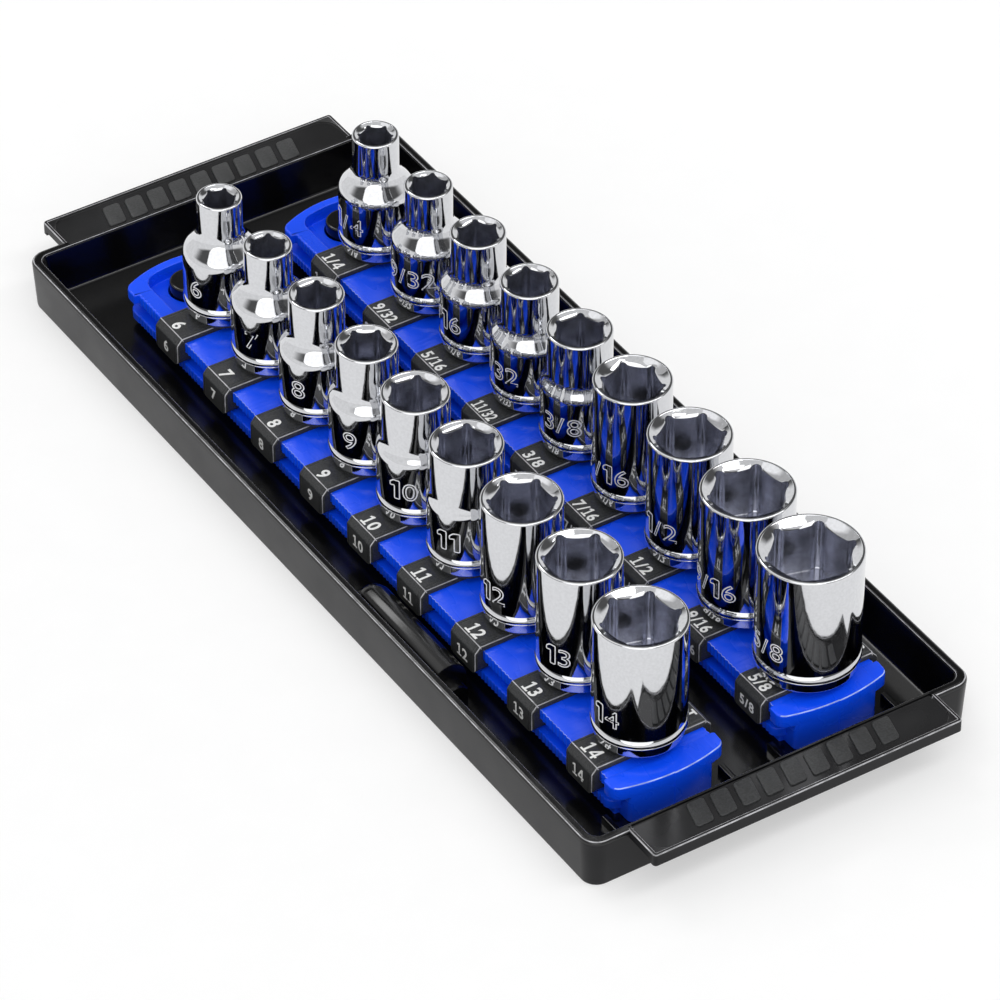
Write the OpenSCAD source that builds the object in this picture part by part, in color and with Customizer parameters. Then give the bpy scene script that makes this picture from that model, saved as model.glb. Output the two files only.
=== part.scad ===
// Socket tray: a shallow moulded tray that holds two rails side by side. Each rail
// carries nine clips that slide along it, each clip holds a post that turns, and each
// post holds a socket that pulls off upwards. Millimetres.
// The origin is the centre of the tray's underside, +Z is up, and the rails run along Y
// with the smallest sockets at the +Y end. The metric rail is on the -X side.

/* [Sockets] */
// Width across the flats of the smallest metric socket
metric_first = 6; // [5:0.5:7]
// Step from one metric socket to the next
metric_step = 1; // [0.8:0.1:1.2]
// Length of the inch that the fractional sockets are sized by
inch_l = 25.4; // [22:0.1:28]
// Extra width across the flats of each hexagon
hex_clearance = 0.15; // [0:0.05:0.4]
// Depth of the hexagon
hex_depth = 13; // [8:0.5:14]
// Wall outside the hexagon's corners, of which each socket has its share
socket_wall = 1.5; // [1.2:0.1:1.8]
// Diameter of the body of the small sockets
body_d = 16.8; // [16.2:0.1:18]
// Length of a socket
socket_l = 29.5; // [27:0.5:36]
// Width of the square hole in a socket's foot
drive_w = 9.6; // [8:0.1:10]
// Depth of the square hole
drive_depth = 11; // [9.5:0.5:12]
// Diameter of the hole between the square and the hexagon
through_d = 5; // [3:0.5:5.5]
// Height of the foot under the ring
foot_h = 2.7; // [1.5:0.1:3.5]
// Step in from the body to the foot
foot_step = 0.6; // [0.2:0.1:0.7]
// Height of the ring round the bottom of the body
ring_h = 1.9; // [1:0.1:3]
// How far the ring stands out from the body
ring_out = 0.2; // [0.1:0.05:0.3]
// Height of the shoulder of the small sockets, from the foot
shoulder_z = 15.9; // [13:0.1:17]
// Height that every shoulder takes, whatever its width
shoulder_base_h = 1.2; // [0.8:0.1:2]
// Radius of the top's outer edge
socket_edge_r = 0.6; // [0.3:0.05:0.65]
// Width of the flat ring between the top's edge and the countersink
mouth_land = 0.1; // [0.05:0.05:0.15]

/* [Rails] */
// Gap between neighbouring sockets, of which each pair has its share
socket_gap = 3; // [2.6:0.1:6]
// From the first socket of the longer row to the rail's far end
far_space = 21.8; // [21:0.1:30]
// From the last socket of the longer row to the rail's near end
near_space = 12.1; // [11.5:0.1:20]
// Width of the top flange
rail_top_w = 24.9; // [22:0.1:26.5]
// Thickness of the top flange
rail_top_t = 2.5; // [1.8:0.1:4]
// Width of the neck under the top flange
rail_neck_w = 19; // [17:0.1:20]
// Height of the neck
rail_neck_h = 3.25; // [2.8:0.05:5]
// Width of the bottom flange
rail_low_w = 25.2; // [22:0.1:27]
// Thickness of the bottom flange
rail_low_t = 2.2; // [1.5:0.1:4]
// Width of the foot under the bottom flange
rail_foot_w = 22; // [20:0.1:25]
// Height of the foot
rail_foot_h = 1.8; // [1:0.1:3]
// Wall round the hollow in the rail's underside
rail_wall = 2; // [1.2:0.1:2.4]
// Width of the stop at the rail's far end
far_stop_w = 26.8; // [26.6:0.1:28]
// Length of the stop at the rail's far end, along the axis
far_stop_l = 7.5; // [6:0.1:9]
// How far the far end bows out
far_bow = 3.6; // [1:0.1:5]
// Width of the stop at the rail's near end
near_stop_w = 26.6; // [26.6:0.1:28]
// Length of the stop at the rail's near end, along the axis
near_stop_l = 6; // [5:0.1:6.6]
// How far the near end bows out
near_bow = 2.2; // [0.5:0.1:2.5]
// Thickness of the stops
stop_t = 3.2; // [2.6:0.1:5]
// Radius of the stops' corners
stop_r = 1.6; // [0.5:0.1:2.2]
// Width of the block under the near stop
block_w = 20; // [19:0.1:22]
// Length of the block under the near stop
block_l = 6; // [4:0.1:6]

/* [Rail lock] */
// From the lock's axis to the rail's far end
lock_in = 8.1; // [7.2:0.1:9]
// Diameter of the lock's button
lock_button_d = 8.6; // [8:0.1:9.2]
// Clearance round the button in the rail's hole
lock_gap = 0.3; // [0.3:0.05:0.5]
// Height of the lock's button
lock_button_h = 3.5; // [2.8:0.1:4.5]
// Radius of the button's upper edge
lock_edge_r = 0.6; // [0.3:0.1:0.8]
// Diameter of the lock's stem
lock_stem_d = 6.5; // [5:0.1:7.5]
// How far the button's top lies under the rail's top
lock_drop = 0.5; // [0.2:0.1:1]
// Wall between the recess in the rail's top and the neck's side
recess_wall = 0.7; // [0.5:0.1:1.2]
// Depth of the recess
recess_depth = 3.2; // [1:0.1:3.6]
// Border between the recess and the rail's far end
recess_border = 2.2; // [1.6:0.1:2.5]
// Length of the recess
recess_l = 16.5; // [15:0.1:18]
// Radius of the recess's corners
recess_r = 2.8; // [1:0.1:4]

/* [Clips] */
// Length of a clip along the rail
clip_l = 9.8; // [9.6:0.1:11.5]
// Thickness of a clip's top
clip_top_t = 1.2; // [1:0.1:2]
// Thickness of a clip's sides
clip_side_t = 1.95; // [1.5:0.05:2.5]
// Clearance between a clip and the rail
slide_gap = 0.1; // [0.05:0.01:0.12]
// Width of the bevel along a clip's sides
clip_bevel_w = 1.35; // [0.5:0.05:1.4]
// Height of the bevel along a clip's sides
clip_bevel_h = 1.5; // [0.5:0.1:2]
// Size of the chamfer along a clip's front and back
clip_chamfer = 0.7; // [0.2:0.05:0.9]
// Radius of a clip's lower corners
clip_corner_r = 1.6; // [0.5:0.1:2.5]

/* [Posts] */
// Diameter of a post's stem in the clip
stem_d = 7.2; // [6:0.1:7.4]
// Running clearance round the stem, on the radius
stem_gap = 0.06; // [0.03:0.01:0.08]
// Diameter of the flange under the clip's top
flange_d = 8.2; // [8:0.05:8.3]
// Thickness of the flange
flange_t = 0.45; // [0.35:0.05:0.5]
// Diameter of the collar that the socket stands on
collar_d = 14.6; // [14.4:0.1:15]
// Height of the collar's top over the clip
collar_z = 0.8; // [0.5:0.05:1.5]
// Height of the square over the collar
square_h = 8.5; // [6:0.1:9.2]
// Clearance between the square and the socket, on each side
drive_gap = 0.1; // [0.05:0.01:0.15]
// Size of the chamfer on the square's top
square_chamfer = 0.8; // [0.3:0.1:1.2]

/* [Tray] */
// Height of the tray
tray_h = 12.1; // [10.5:0.1:13]
// Thickness of the floor
floor_t = 2; // [1.2:0.1:3]
// Width of the rim's top
rim_w = 2.1; // [1.5:0.1:3]
// How far the outside slopes in, from the rim to the underside
outer_lean = 0.6; // [0.1:0.1:1.2]
// How far the inside slopes in, from the rim to the floor
inner_lean = 2.1; // [0.5:0.1:2.3]
// Radius of the outer corners
corner_r = 4; // [3:0.1:8]
// Radius of the inner corners at the rim
inner_corner_r = 2.5; // [2.4:0.1:5]
// Gap between the clips and the inside of the rim
side_gap = 9.9; // [9:0.1:16]
// Gap between the clips of the two rails
middle_gap = 11; // [6:0.1:20]
// Gap between the rails' far ends and the inside of the rim
far_gap = 15.6; // [12:0.1:24]
// Gap between the rails' near ends and the inside of the rim
near_gap = 7.5; // [5:0.1:16]

/* [End tabs] */
// Width of the tabs
tab_w = 74.4; // [60:0.2:80]
// How far a tab stands out from the rim
tab_l = 8.8; // [5:0.1:14]
// Height of a tab's skirt
tab_h = 3; // [2.4:0.1:5]
// Thickness of a tab's plate
tab_t = 1.6; // [1.4:0.1:2]
// Height of a tab's two ends, where the skirt is cut open
tab_end_h = 2; // [1.8:0.1:2.3]
// Radius of a tab's corners
tab_r = 0.8; // [0.5:0.1:2]
// Border round the sunken panel of a tab
tab_border = 1; // [0.8:0.1:2]
// Radius of the sunken panel's corners
tab_panel_r = 4; // [1:0.1:4.5]
// Depth of the sunken panel
tab_panel_depth = 0.5; // [0.2:0.1:0.8]

/* [Floor details] */
// Gap between the floor's ribs and the rail's bottom flange
rib_gap = 0.7; // [0.3:0.1:1.5]
// Width of a rib
rib_w = 1.4; // [0.8:0.1:2]
// Height of a rib
rib_h = 2; // [1:0.1:3]
// Length of a rib in from the wall
rib_l = 12; // [8:0.1:16]
// Gap between the hook and the rail's far end
hook_gap = 1.2; // [0.4:0.1:2]
// Width of a hook
hook_w = 5; // [3:0.1:8]
// Thickness of a hook
hook_t = 2.4; // [1.2:0.1:3]
// Height of a hook
hook_h = 6; // [3:0.1:8]
// Length of the hump on the side wall
hump_l = 31; // [15:0.5:50]
// How far the hump stands in from the rim's inner edge
hump_w = 8.6; // [5:0.1:8.8]
// Height of the hump over the floor
hump_h = 8.6; // [5:0.1:9]
// From the tray's middle to the hump's far end
hump_y = 20; // [0:0.5:30]
// Length of the step at the hump's near end
hump_step_l = 3; // [1:0.1:5]

/* [Hidden] */
// The two rows: metric first, then inch
ROWS = [0, 1];
row_tags = ["mm", "in"];
row_words = ["metric", "inch"];
row_names = [
    ["6", "7", "8", "9", "10", "11", "12", "13", "14"],
    ["1_4", "9_32", "5_16", "11_32", "3_8", "7_16", "1_2", "9_16", "5_8"]
];
last = len(row_names[0]) - 1;
function piece_name(kind, row, i) = str(kind, "_", row_tags[row], "_", row_names[row][i]);

// How far every cut runs past the solid that it cuts
overrun = 1;
// Widths across the flats, smallest first
inch_size_shares = [1/4, 9/32, 5/16, 11/32, 3/8, 7/16, 1/2, 9/16, 5/8];
sizes = [
    [for (i = [0:last]) metric_first + i * metric_step],
    [for (share = inch_size_shares) share * inch_l]
];
// Each socket's share of the wall outside the hexagon
wall_shares = [
    [0.93, 0.75, 0.87, 0.92, 0.95, 0.9, 1.03, 0.87, 1.1],
    [0.91, 0.71, 0.91, 0.77, 1, 1.28, 1.03, 1.08, 1.22]
];
// Each pair of neighbours' share of the gap between sockets
gap_shares = [
    [0.98, 0.89, 0.96, 0.65, 0.82, 1.19, 1.14, 0.96],
    [1.47, 0.89, 1, 0.7, 0.92, 1.13, 0.55, 0.25]
];
// How far each hexagon is turned, in degrees
turns = [
    [39, 57, 57, 30, 53, 57, 31, 30, 43],
    [24, 45, 6, 7, 55, 16, 34, 43, 44]
];
// From half the width across the flats to a hexagon's corner
corner_share = 1 / cos(30);

function flats(row, i) = sizes[row][i] + hex_clearance;
function hex_corner_r(row, i) = corner_share * flats(row, i) / 2;
function nose_r(row, i) = hex_corner_r(row, i) + socket_wall * wall_shares[row][i];
function body_r(row, i) = max(body_d / 2, nose_r(row, i));
function ring_r(row, i) = body_r(row, i) + ring_out;
// Distance from the first socket's axis to socket i's
function place(row, i) = i == 0 ? 0
    : place(row, i - 1) + ring_r(row, i - 1) + ring_r(row, i) + socket_gap * gap_shares[row][i - 1];

row_l = max(place(0, last), place(1, last));
rail_l = far_space + row_l + near_space;
clip_w = rail_top_w + 2 * (slide_gap + clip_side_t);
tray_w = 2 * (rim_w + side_gap + clip_w) + middle_gap;
tray_l = 2 * rim_w + near_gap + rail_l + far_gap;

// Heights
rail_z = floor_t;
low_z = rail_z + rail_foot_h;
neck_z = low_z + rail_low_t;
flange_z = neck_z + rail_neck_h;
rail_top_z = flange_z + rail_top_t;
clip_z = neck_z + 2 * slide_gap;
clip_under_z = rail_top_z + slide_gap;
clip_top_z = clip_under_z + clip_top_t;
seat_z = clip_top_z + collar_z;
socket_top_z = seat_z + socket_l;

// Places along the rail
rail_x = middle_gap / 2 + clip_w / 2;
inner_l = tray_l - 2 * rim_w;
near_end_y = -inner_l / 2 + near_gap;
far_end_y = inner_l / 2 - far_gap;
row_mid_y = far_end_y - far_space - row_l / 2;
lock_y = far_end_y - lock_in;
lock_hole_d = lock_button_d + 2 * lock_gap;
recess_w = rail_neck_w - 2 * recess_wall;
recess_near_y = far_end_y - recess_border - recess_l;
flange_near_y = near_end_y + near_stop_l;
flange_far_y = far_end_y - far_stop_l;
// Axis of each rail, and place of each socket along it
row_x = [-rail_x, rail_x];
function row_y(row, i) = row_mid_y + place(row, last) / 2 - place(row, i);

// Points of a bowed end with rounded corners, from -X to +X, for an end that faces +Y
end_steps = 12;
function end_drop(x, w, bow, r) = bow * pow(2 * x / w, 2)
    + r - sqrt(r * r - pow(max(0, abs(x) - w / 2 + r), 2));
function end_points(w, tip_y, bow, r) = [
    for (k = [-end_steps:end_steps])
        let (x = w / 2 * sin(90 * k / end_steps))
        [x, tip_y - end_drop(x, w, bow, r)]
];
// A point of the curve that leaves a towards k and reaches b from k
function bend(a, k, b, t) = (1 - t) * (1 - t) * a + 2 * t * (1 - t) * k + t * t * b;
bend_steps = 4;
function bend_points(a, k, b) = [for (s = [0:bend_steps]) bend(a, k, b, s / bend_steps)];

module rail_outline(w, y0, y1) {
    near = end_points(w, -y0, near_bow, stop_r);
    far = end_points(w, y1, far_bow, stop_r);
    polygon(concat([for (p = near) [p.x, -p.y]], [for (i = [len(far) - 1:-1:0]) far[i]]));
}

// The recess round the lock, its far edge parallel to the rail's far end
module recess_outline() {
    bow = far_bow * pow(recess_w / far_stop_w, 2);
    far = end_points(recess_w, far_end_y - recess_border, bow, recess_r);
    polygon(concat([[-recess_w / 2, recess_near_y], [recess_w / 2, recess_near_y]],
        [for (i = [len(far) - 1:-1:0]) far[i]]));
}

module slab(w, y0, y1, z, h) {
    translate([-w / 2, y0, z])
        cube([w, y1 - y0, h]);
}

// A box with sloping sides, w by l at the height h, which may run on past it
module sloped_box(w, l, r, lean, z, h, past = 0) {
    hull()
        for (x = [-1, 1], y = [-1, 1])
            translate([x * (w / 2 - r), y * (l / 2 - r), z])
                cylinder(h = h + past, r1 = r - lean, r2 = r + lean * past / h, $fn = 32);
}

module tab_plate(w, l, r, z, h) {
    hull()
        for (x = [-1, 1], y = [r, l - r])
            translate([x * (w / 2 - r), y, z])
                cylinder(h = h, r = r, $fn = 32);
}

// One end tab, standing out along +Y from the inside of the rim
module end_tab() {
    difference() {
        translate([0, tray_l / 2 - rim_w / 2, 0])
            tab_plate(tab_w, tab_l + rim_w / 2, tab_r, tray_h - tab_h, tab_h);
        slab(tab_w - 2 * tab_t, tray_l / 2 + tab_t / 2, tray_l / 2 + tab_l - tab_t,
            tray_h - tab_h - overrun, tab_h - tab_t + overrun);
        // The skirt stays at full height along the outer edge only
        slab(tab_w + 2 * overrun, tray_l / 2 + tab_t / 2, tray_l / 2 + tab_l - tab_t,
            tray_h - tab_h - overrun, tab_h - tab_end_h + overrun);
    }
}

module tab_panel() {
    panel_w = tab_w - 2 * tab_border;
    panel_l = tab_l + rim_w - tab_border / 2 - tab_border;
    translate([0, tray_l / 2 - rim_w + tab_border / 2, 0])
        tab_plate(panel_w, panel_l, min(tab_panel_r, panel_l / 2), tray_h - tab_panel_depth,
            tab_panel_depth + overrun);
}

module hump() {
    wall_x = tray_w / 2 - rim_w;
    r = hump_w / 2;
    far_y = -hump_y - r / 2;
    near_y = -hump_y - hump_l;
    straight_h = hump_h - r;
    step_r = r * 2 / 3;
    // The hump runs into the wall that it stands against
    translate([-wall_x + hump_w - r, 0, floor_t])
        intersection() {
            union() {
                translate([0, near_y, straight_h])
                    rotate([-90, 0, 0])
                        cylinder(h = far_y - near_y, r = r, $fn = 48);
                translate([0, far_y, straight_h])
                    sphere(r = r, $fn = 48);
                translate([-r, near_y, -floor_t / 2])
                    cube([2 * r, far_y - near_y, straight_h + floor_t / 2]);
                translate([0, far_y, -floor_t / 2])
                    cylinder(h = straight_h + floor_t / 2, r = r, $fn = 48);
                translate([0, near_y - hump_step_l, straight_h / 2])
                    rotate([-90, 0, 0])
                        cylinder(h = 2 * hump_step_l, r = step_r, $fn = 32);
                translate([-step_r, near_y - hump_step_l, -floor_t / 2])
                    cube([2 * step_r, 2 * hump_step_l, straight_h / 2 + floor_t / 2]);
            }
            translate([-hump_w, near_y - 2 * hump_step_l, -floor_t / 2])
                cube([2 * hump_w, hump_l + 4 * hump_step_l, hump_h + floor_t]);
        }
}

module tray() {
    inner_w = tray_w - 2 * rim_w;
    rib_x = rail_low_w / 2 + rib_gap;
    hook_y = far_end_y + hook_gap;
    color([0.07, 0.07, 0.08])
        difference() {
            union() {
                difference() {
                    sloped_box(tray_w, tray_l, corner_r, outer_lean, 0, tray_h);
                    sloped_box(inner_w, inner_l, inner_corner_r, inner_lean, floor_t,
                        tray_h - floor_t, overrun);
                }
                end_tab();
                rotate([0, 0, 180])
                    end_tab();
                for (x = [-rail_x, rail_x]) {
                    for (side = [-1, 1])
                        translate([x + side * (rib_x + rib_w / 2), 0, 0])
                            slab(rib_w, -tray_l / 2 + rim_w, -inner_l / 2 + rib_l,
                                floor_t / 2, floor_t / 2 + rib_h);
                    translate([x, 0, 0])
                        slab(hook_w, hook_y, hook_y + hook_t, floor_t / 2,
                            floor_t / 2 + hook_h);
                }
                hump();
            }
            tab_panel();
            rotate([0, 0, 180])
                tab_panel();
        }
}

// One rail on its own axis, x = 0
module rail() {
    block_y = near_end_y + block_l;
    hollow_near_y = block_y + rail_wall;
    hollow_far_y = recess_near_y - rail_wall;
    stop_z = rail_top_z - stop_t;
    color([0.02, 0.16, 0.88])
        difference() {
            union() {
                slab(rail_top_w, flange_near_y, flange_far_y + stop_r, flange_z, rail_top_t);
                intersection() {
                    translate([0, 0, stop_z])
                        linear_extrude(stop_t)
                            rail_outline(near_stop_w, near_end_y, far_end_y);
                    slab(far_stop_w, near_end_y, flange_near_y, stop_z, stop_t);
                }
                intersection() {
                    translate([0, 0, stop_z])
                        linear_extrude(stop_t)
                            rail_outline(far_stop_w, near_end_y, far_end_y);
                    slab(far_stop_w, flange_far_y, far_end_y, stop_z, stop_t);
                }
                translate([0, 0, rail_z])
                    linear_extrude(flange_z - rail_z)
                        rail_outline(rail_neck_w, near_end_y + near_bow, far_end_y);
                intersection() {
                    translate([0, 0, rail_z])
                        linear_extrude(stop_z - rail_z)
                            rail_outline(block_w, near_end_y, far_end_y);
                    slab(block_w, near_end_y, block_y, rail_z, stop_z - rail_z);
                }
                translate([0, 0, low_z])
                    linear_extrude(rail_low_t)
                        rail_outline(rail_low_w, near_end_y + near_stop_l / 2, far_end_y);
                translate([0, 0, rail_z])
                    linear_extrude(rail_foot_h)
                        rail_outline(rail_foot_w, near_end_y + near_stop_l / 2, far_end_y);
            }
            translate([0, lock_y, 0])
                cylinder(h = rail_top_z + overrun, d = lock_hole_d, $fn = 64);
            translate([0, 0, rail_top_z - recess_depth])
                linear_extrude(recess_depth + overrun)
                    recess_outline();
            slab(rail_neck_w - 2 * rail_wall, hollow_near_y, hollow_far_y, 0, flange_z);
        }
}

// The button that stands on the tray's floor in the rail's hole
module rail_lock() {
    top_z = rail_top_z - lock_drop;
    button_z = top_z - lock_button_h;
    r = lock_button_d / 2;
    edge = bend_points([r, top_z - lock_edge_r], [r, top_z], [r - lock_edge_r, top_z]);
    color([0.08, 0.08, 0.08])
        translate([0, lock_y, 0])
            rotate_extrude($fn = 64)
                polygon(concat([[0, floor_t], [lock_stem_d / 2, floor_t],
                    [lock_stem_d / 2, button_z], [r, button_z]], edge, [[0, top_z]]));
}

// One clip on its own axis, with its side cuts and the hole for the post
module clip() {
    half_w = clip_w / 2;
    half_l = clip_l / 2;
    r = clip_corner_r;
    height = clip_top_z - clip_z;
    color([0.13, 0.13, 0.13])
        difference() {
            intersection() {
                // Across the rail
                translate([0, half_l, 0])
                    rotate([90, 0, 0])
                        linear_extrude(clip_l)
                            polygon([[-half_w, clip_z], [half_w, clip_z],
                                [half_w, clip_top_z - clip_bevel_h],
                                [half_w - clip_bevel_w, clip_top_z],
                                [clip_bevel_w - half_w, clip_top_z],
                                [-half_w, clip_top_z - clip_bevel_h]]);
                // Along the rail, with the lower corners rounded
                translate([-half_w, 0, 0])
                    rotate([90, 0, 90])
                        linear_extrude(clip_w)
                            union() {
                                polygon([[-half_l, clip_z + r], [half_l, clip_z + r],
                                    [half_l, clip_top_z - clip_chamfer],
                                    [half_l - clip_chamfer, clip_top_z],
                                    [clip_chamfer - half_l, clip_top_z],
                                    [-half_l, clip_top_z - clip_chamfer]]);
                                translate([r - half_l, clip_z])
                                    square([clip_l - 2 * r, r]);
                                for (side = [-1, 1])
                                    translate([side * (half_l - r), clip_z + r])
                                        circle(r = r, $fn = 32);
                            }
                // From above, with the upright edges cut off
                translate([0, 0, clip_z])
                    linear_extrude(height)
                        polygon([
                            [clip_chamfer - half_w, -half_l], [half_w - clip_chamfer, -half_l],
                            [half_w, clip_chamfer - half_l], [half_w, half_l - clip_chamfer],
                            [half_w - clip_chamfer, half_l], [clip_chamfer - half_w, half_l],
                            [-half_w, half_l - clip_chamfer], [-half_w, clip_chamfer - half_l]
                        ]);
            }
            // The rail's flange and neck pass through here
            slab(rail_top_w + 2 * slide_gap, -half_l - overrun, half_l + overrun,
                flange_z - slide_gap, rail_top_t + 2 * slide_gap);
            slab(rail_neck_w + 2 * slide_gap, -half_l - overrun, half_l + overrun,
                clip_z - overrun, flange_z - clip_z + overrun);
            translate([0, 0, clip_under_z - overrun])
                cylinder(h = clip_top_t + 2 * overrun, d = stem_d + 2 * stem_gap, $fn = 64);
            translate([0, 0, clip_under_z - overrun])
                cylinder(h = overrun + flange_t + 2 * stem_gap, d = flange_d + 2 * slide_gap,
                    $fn = 64);
        }
}

// One post on its own axis: flange, stem, collar and square
module post() {
    w = drive_w - 2 * drive_gap;
    corner = norm([w, w]) / 2;
    flange_low_z = clip_under_z + stem_gap;
    square_top_z = seat_z + square_h;
    color([0.1, 0.1, 0.1]) {
        translate([0, 0, flange_low_z])
            cylinder(h = flange_t, d = flange_d, $fn = 64);
        translate([0, 0, flange_low_z])
            cylinder(h = seat_z - flange_low_z, d = stem_d, $fn = 64);
        translate([0, 0, clip_top_z + stem_gap])
            cylinder(h = seat_z - clip_top_z - stem_gap, d = collar_d, $fn = 64);
        intersection() {
            translate([-w / 2, -w / 2, seat_z])
                cube([w, w, square_h]);
            cylinder(h = square_top_z, r1 = square_top_z + corner - square_chamfer,
                r2 = corner - square_chamfer, $fn = 64);
        }
    }
}

// Outline of a socket's outside, from the foot up, with z from the foot
function socket_outside(nose, body) =
    let (
        foot = body - foot_step,
        ring_top = foot_h + ring_h,
        groove = ring_h / 8,
        bulge = ring_h / 3,
        step = body - nose,
        top = socket_l,
        edge = socket_edge_r,
        shoulder_h = shoulder_base_h + step * 4 / 5,
        round_h = min(shoulder_h / 3, step)
    )
    concat(
        [[foot - foot_step / 2, 0], [foot, foot_step / 2], [foot, foot_h],
            [body + ring_out / 2, foot_h], [body + ring_out / 2, foot_h + groove],
            [body - ring_out, foot_h + 3 / 2 * groove]],
        bend_points([body + ring_out, foot_h + 2 * groove],
            [body + ring_out, foot_h + bulge + groove], [body - ring_out / 2, ring_top]),
        step <= 0 ? [[body, ring_top]] : concat(
            [[body, ring_top]],
            bend_points([body, shoulder_z - round_h], [body, shoulder_z],
                [body - step / 4, shoulder_z + shoulder_h / 4]),
            bend_points([nose + step / 4, shoulder_z + shoulder_h * 3 / 4],
                [nose, shoulder_z + shoulder_h], [nose, shoulder_z + shoulder_h + round_h])
        ),
        bend_points([nose, top - edge], [nose, top], [nose - edge, top])
    );

// One socket on its own axis
module socket(row, i) {
    nose = nose_r(row, i);
    corner = hex_corner_r(row, i);
    flat_r = flats(row, i) / 2;
    relief = flat_r / 6;
    mouth = nose - socket_edge_r - mouth_land;
    mouth_low_r = flat_r * 7 / 8;
    mouth_h = (mouth - mouth_low_r) * 3 / 5;
    color([0.78, 0.79, 0.81])
        translate([0, 0, seat_z])
            difference() {
                rotate_extrude($fn = 96)
                    polygon(concat([[0, 0]], socket_outside(nose, body_r(row, i)),
                        [[0, socket_l]]));
                translate([0, 0, socket_l - hex_depth])
                    rotate([0, 0, turns[row][i]]) {
                        cylinder(h = hex_depth + overrun, r = corner, $fn = 6);
                        for (k = [0:5])
                            rotate([0, 0, 60 * k])
                                translate([corner - relief * 4 / 5, 0, 0])
                                    cylinder(h = hex_depth + overrun, r = relief, $fn = 24);
                    }
                // The mouth's countersink
                translate([0, 0, socket_l - mouth_h])
                    cylinder(h = mouth_h, r1 = mouth_low_r, r2 = mouth, $fn = 96);
                translate([0, 0, socket_l])
                    cylinder(h = overrun, r = mouth, $fn = 96);
                cylinder(h = socket_l, d = through_d, $fn = 48);
                translate([-drive_w / 2, -drive_w / 2, -overrun])
                    cube([drive_w, drive_w, drive_depth + overrun]);
            }
}

module at_place(row, i) {
    translate([row_x[row], row_y(row, i), 0])
        children();
}

tray();
for (row = ROWS) {
    translate([row_x[row], 0, 0]) {
        rail();
        rail_lock();
    }
    for (i = [0:last])
        at_place(row, i) {
            clip();
            post();
            socket(row, i);
        }
}
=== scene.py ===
"""Looks of a tray with two socket rails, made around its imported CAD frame.

Lengths in the shapes are millimetres in the part's own frame: +Y along the rails to the
smallest sockets, +X from the metric row to the inch row, +Z up from the tray's underside.
"""
import math

import bpy
import numpy as np
from bpy.props import FloatProperty, FloatVectorProperty, PointerProperty
from bpy.types import Operator, Panel, PropertyGroup
from mathutils import Matrix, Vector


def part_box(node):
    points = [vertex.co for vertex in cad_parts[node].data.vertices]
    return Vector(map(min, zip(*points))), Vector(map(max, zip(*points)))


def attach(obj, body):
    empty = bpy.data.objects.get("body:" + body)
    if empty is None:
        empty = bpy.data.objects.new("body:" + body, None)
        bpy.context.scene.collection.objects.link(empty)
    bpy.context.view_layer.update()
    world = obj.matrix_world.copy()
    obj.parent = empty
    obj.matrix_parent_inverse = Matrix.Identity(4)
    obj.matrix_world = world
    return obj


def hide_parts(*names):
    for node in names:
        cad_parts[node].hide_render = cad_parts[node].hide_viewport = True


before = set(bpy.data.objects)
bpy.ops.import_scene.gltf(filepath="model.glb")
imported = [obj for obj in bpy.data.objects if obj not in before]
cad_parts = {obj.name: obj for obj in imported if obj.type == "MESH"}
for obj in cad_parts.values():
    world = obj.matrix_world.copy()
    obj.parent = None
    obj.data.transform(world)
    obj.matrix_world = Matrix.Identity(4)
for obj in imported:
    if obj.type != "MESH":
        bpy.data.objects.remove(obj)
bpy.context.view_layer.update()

bl_info = {
    "name": "Socket rail tray",
    "version": (1, 0, 0),
    "blender": (4, 5, 0),
    "location": "View3D > Sidebar > Socket tray",
    "description": "Makes the visible pieces of a tray with two socket rails",
    "category": "Object",
}

MM = 0.001
ROWS = ("mm", "in")
ROW_WORDS = {"mm": "metric", "in": "inch"}
# Node ending and the number on the socket and its clip, smallest first
NUMBERS = {
    "mm": [(str(n), str(n)) for n in range(6, 15)],
    "in": [(f"{a}_{b}", f"{a}/{b}") for a, b in
           ((1, 4), (9, 32), (5, 16), (11, 32), (3, 8), (7, 16), (1, 2), (9, 16), (5, 8))],
}
# Width across the flats of each socket, its share of the wall, how far its hexagon is
# turned and where round the body the middle of its last figure stands, in degrees
SOCKETS = {
    "mm": list(zip([6, 7, 8, 9, 10, 11, 12, 13, 14],
                   [0.93, 0.75, 0.87, 0.92, 0.95, 0.9, 1.03, 0.87, 1.1],
                   [39, 57, 57, 30, 53, 57, 31, 30, 43],
                   [-163, -149, -152, -149, -131, -140, -157, -143, -158])),
    "in": list(zip([25.4 * share for share in
                    (1/4, 9/32, 5/16, 11/32, 3/8, 7/16, 1/2, 9/16, 5/8)],
                   [0.91, 0.71, 0.91, 0.77, 1, 1.28, 1.03, 1.08, 1.22],
                   [24, 45, 6, 7, 55, 16, 34, 43, 44],
                   [-154, -123, -160, -150, -130, -138, -149, -145, -160])),
}
# Material slots of the tray: glossy, dull, a painted highlight along edges, and the tab tops'
# grey, a painted sheen
GLOSSY, DULL, PAINTED_HIGHLIGHT, SHEEN_PANEL = range(4)
# Rim and floor of the tray, and its end tabs with their sunk panels
RIM_WIDTH = 2.1
TRAY_FLOOR = 2.0
TAB_LENGTH = 8.8
TAB_HALF = 37.2
TAB_ROOT = 0.8
PANEL_DIP = 0.5
# Half widths of a rail: upper flange, low flange, far stop, neck and foot
FLANGE_HALF = 12.45
LOW_HALF = 12.6
STOP_HALF = 13.4
NECK_HALF = 9.5
FOOT_HALF = 11.0
# Heights over a rail's base where the low flange starts and ends and the upper one starts
RAIL_LEVELS = (1.8, 4.0, 7.25)
# Length of a rail's far end, round its lock
HEAD_LENGTH = 21.0
# Play of the clips on the rails
CLIP_PLAY = 0.1
# Play of the hexagons round their size, full wall of a socket and least radius of its body
HEX_PLAY = 0.15
SOCKET_WALL = 1.5
SOCKET_BODY_R = 8.4


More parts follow.
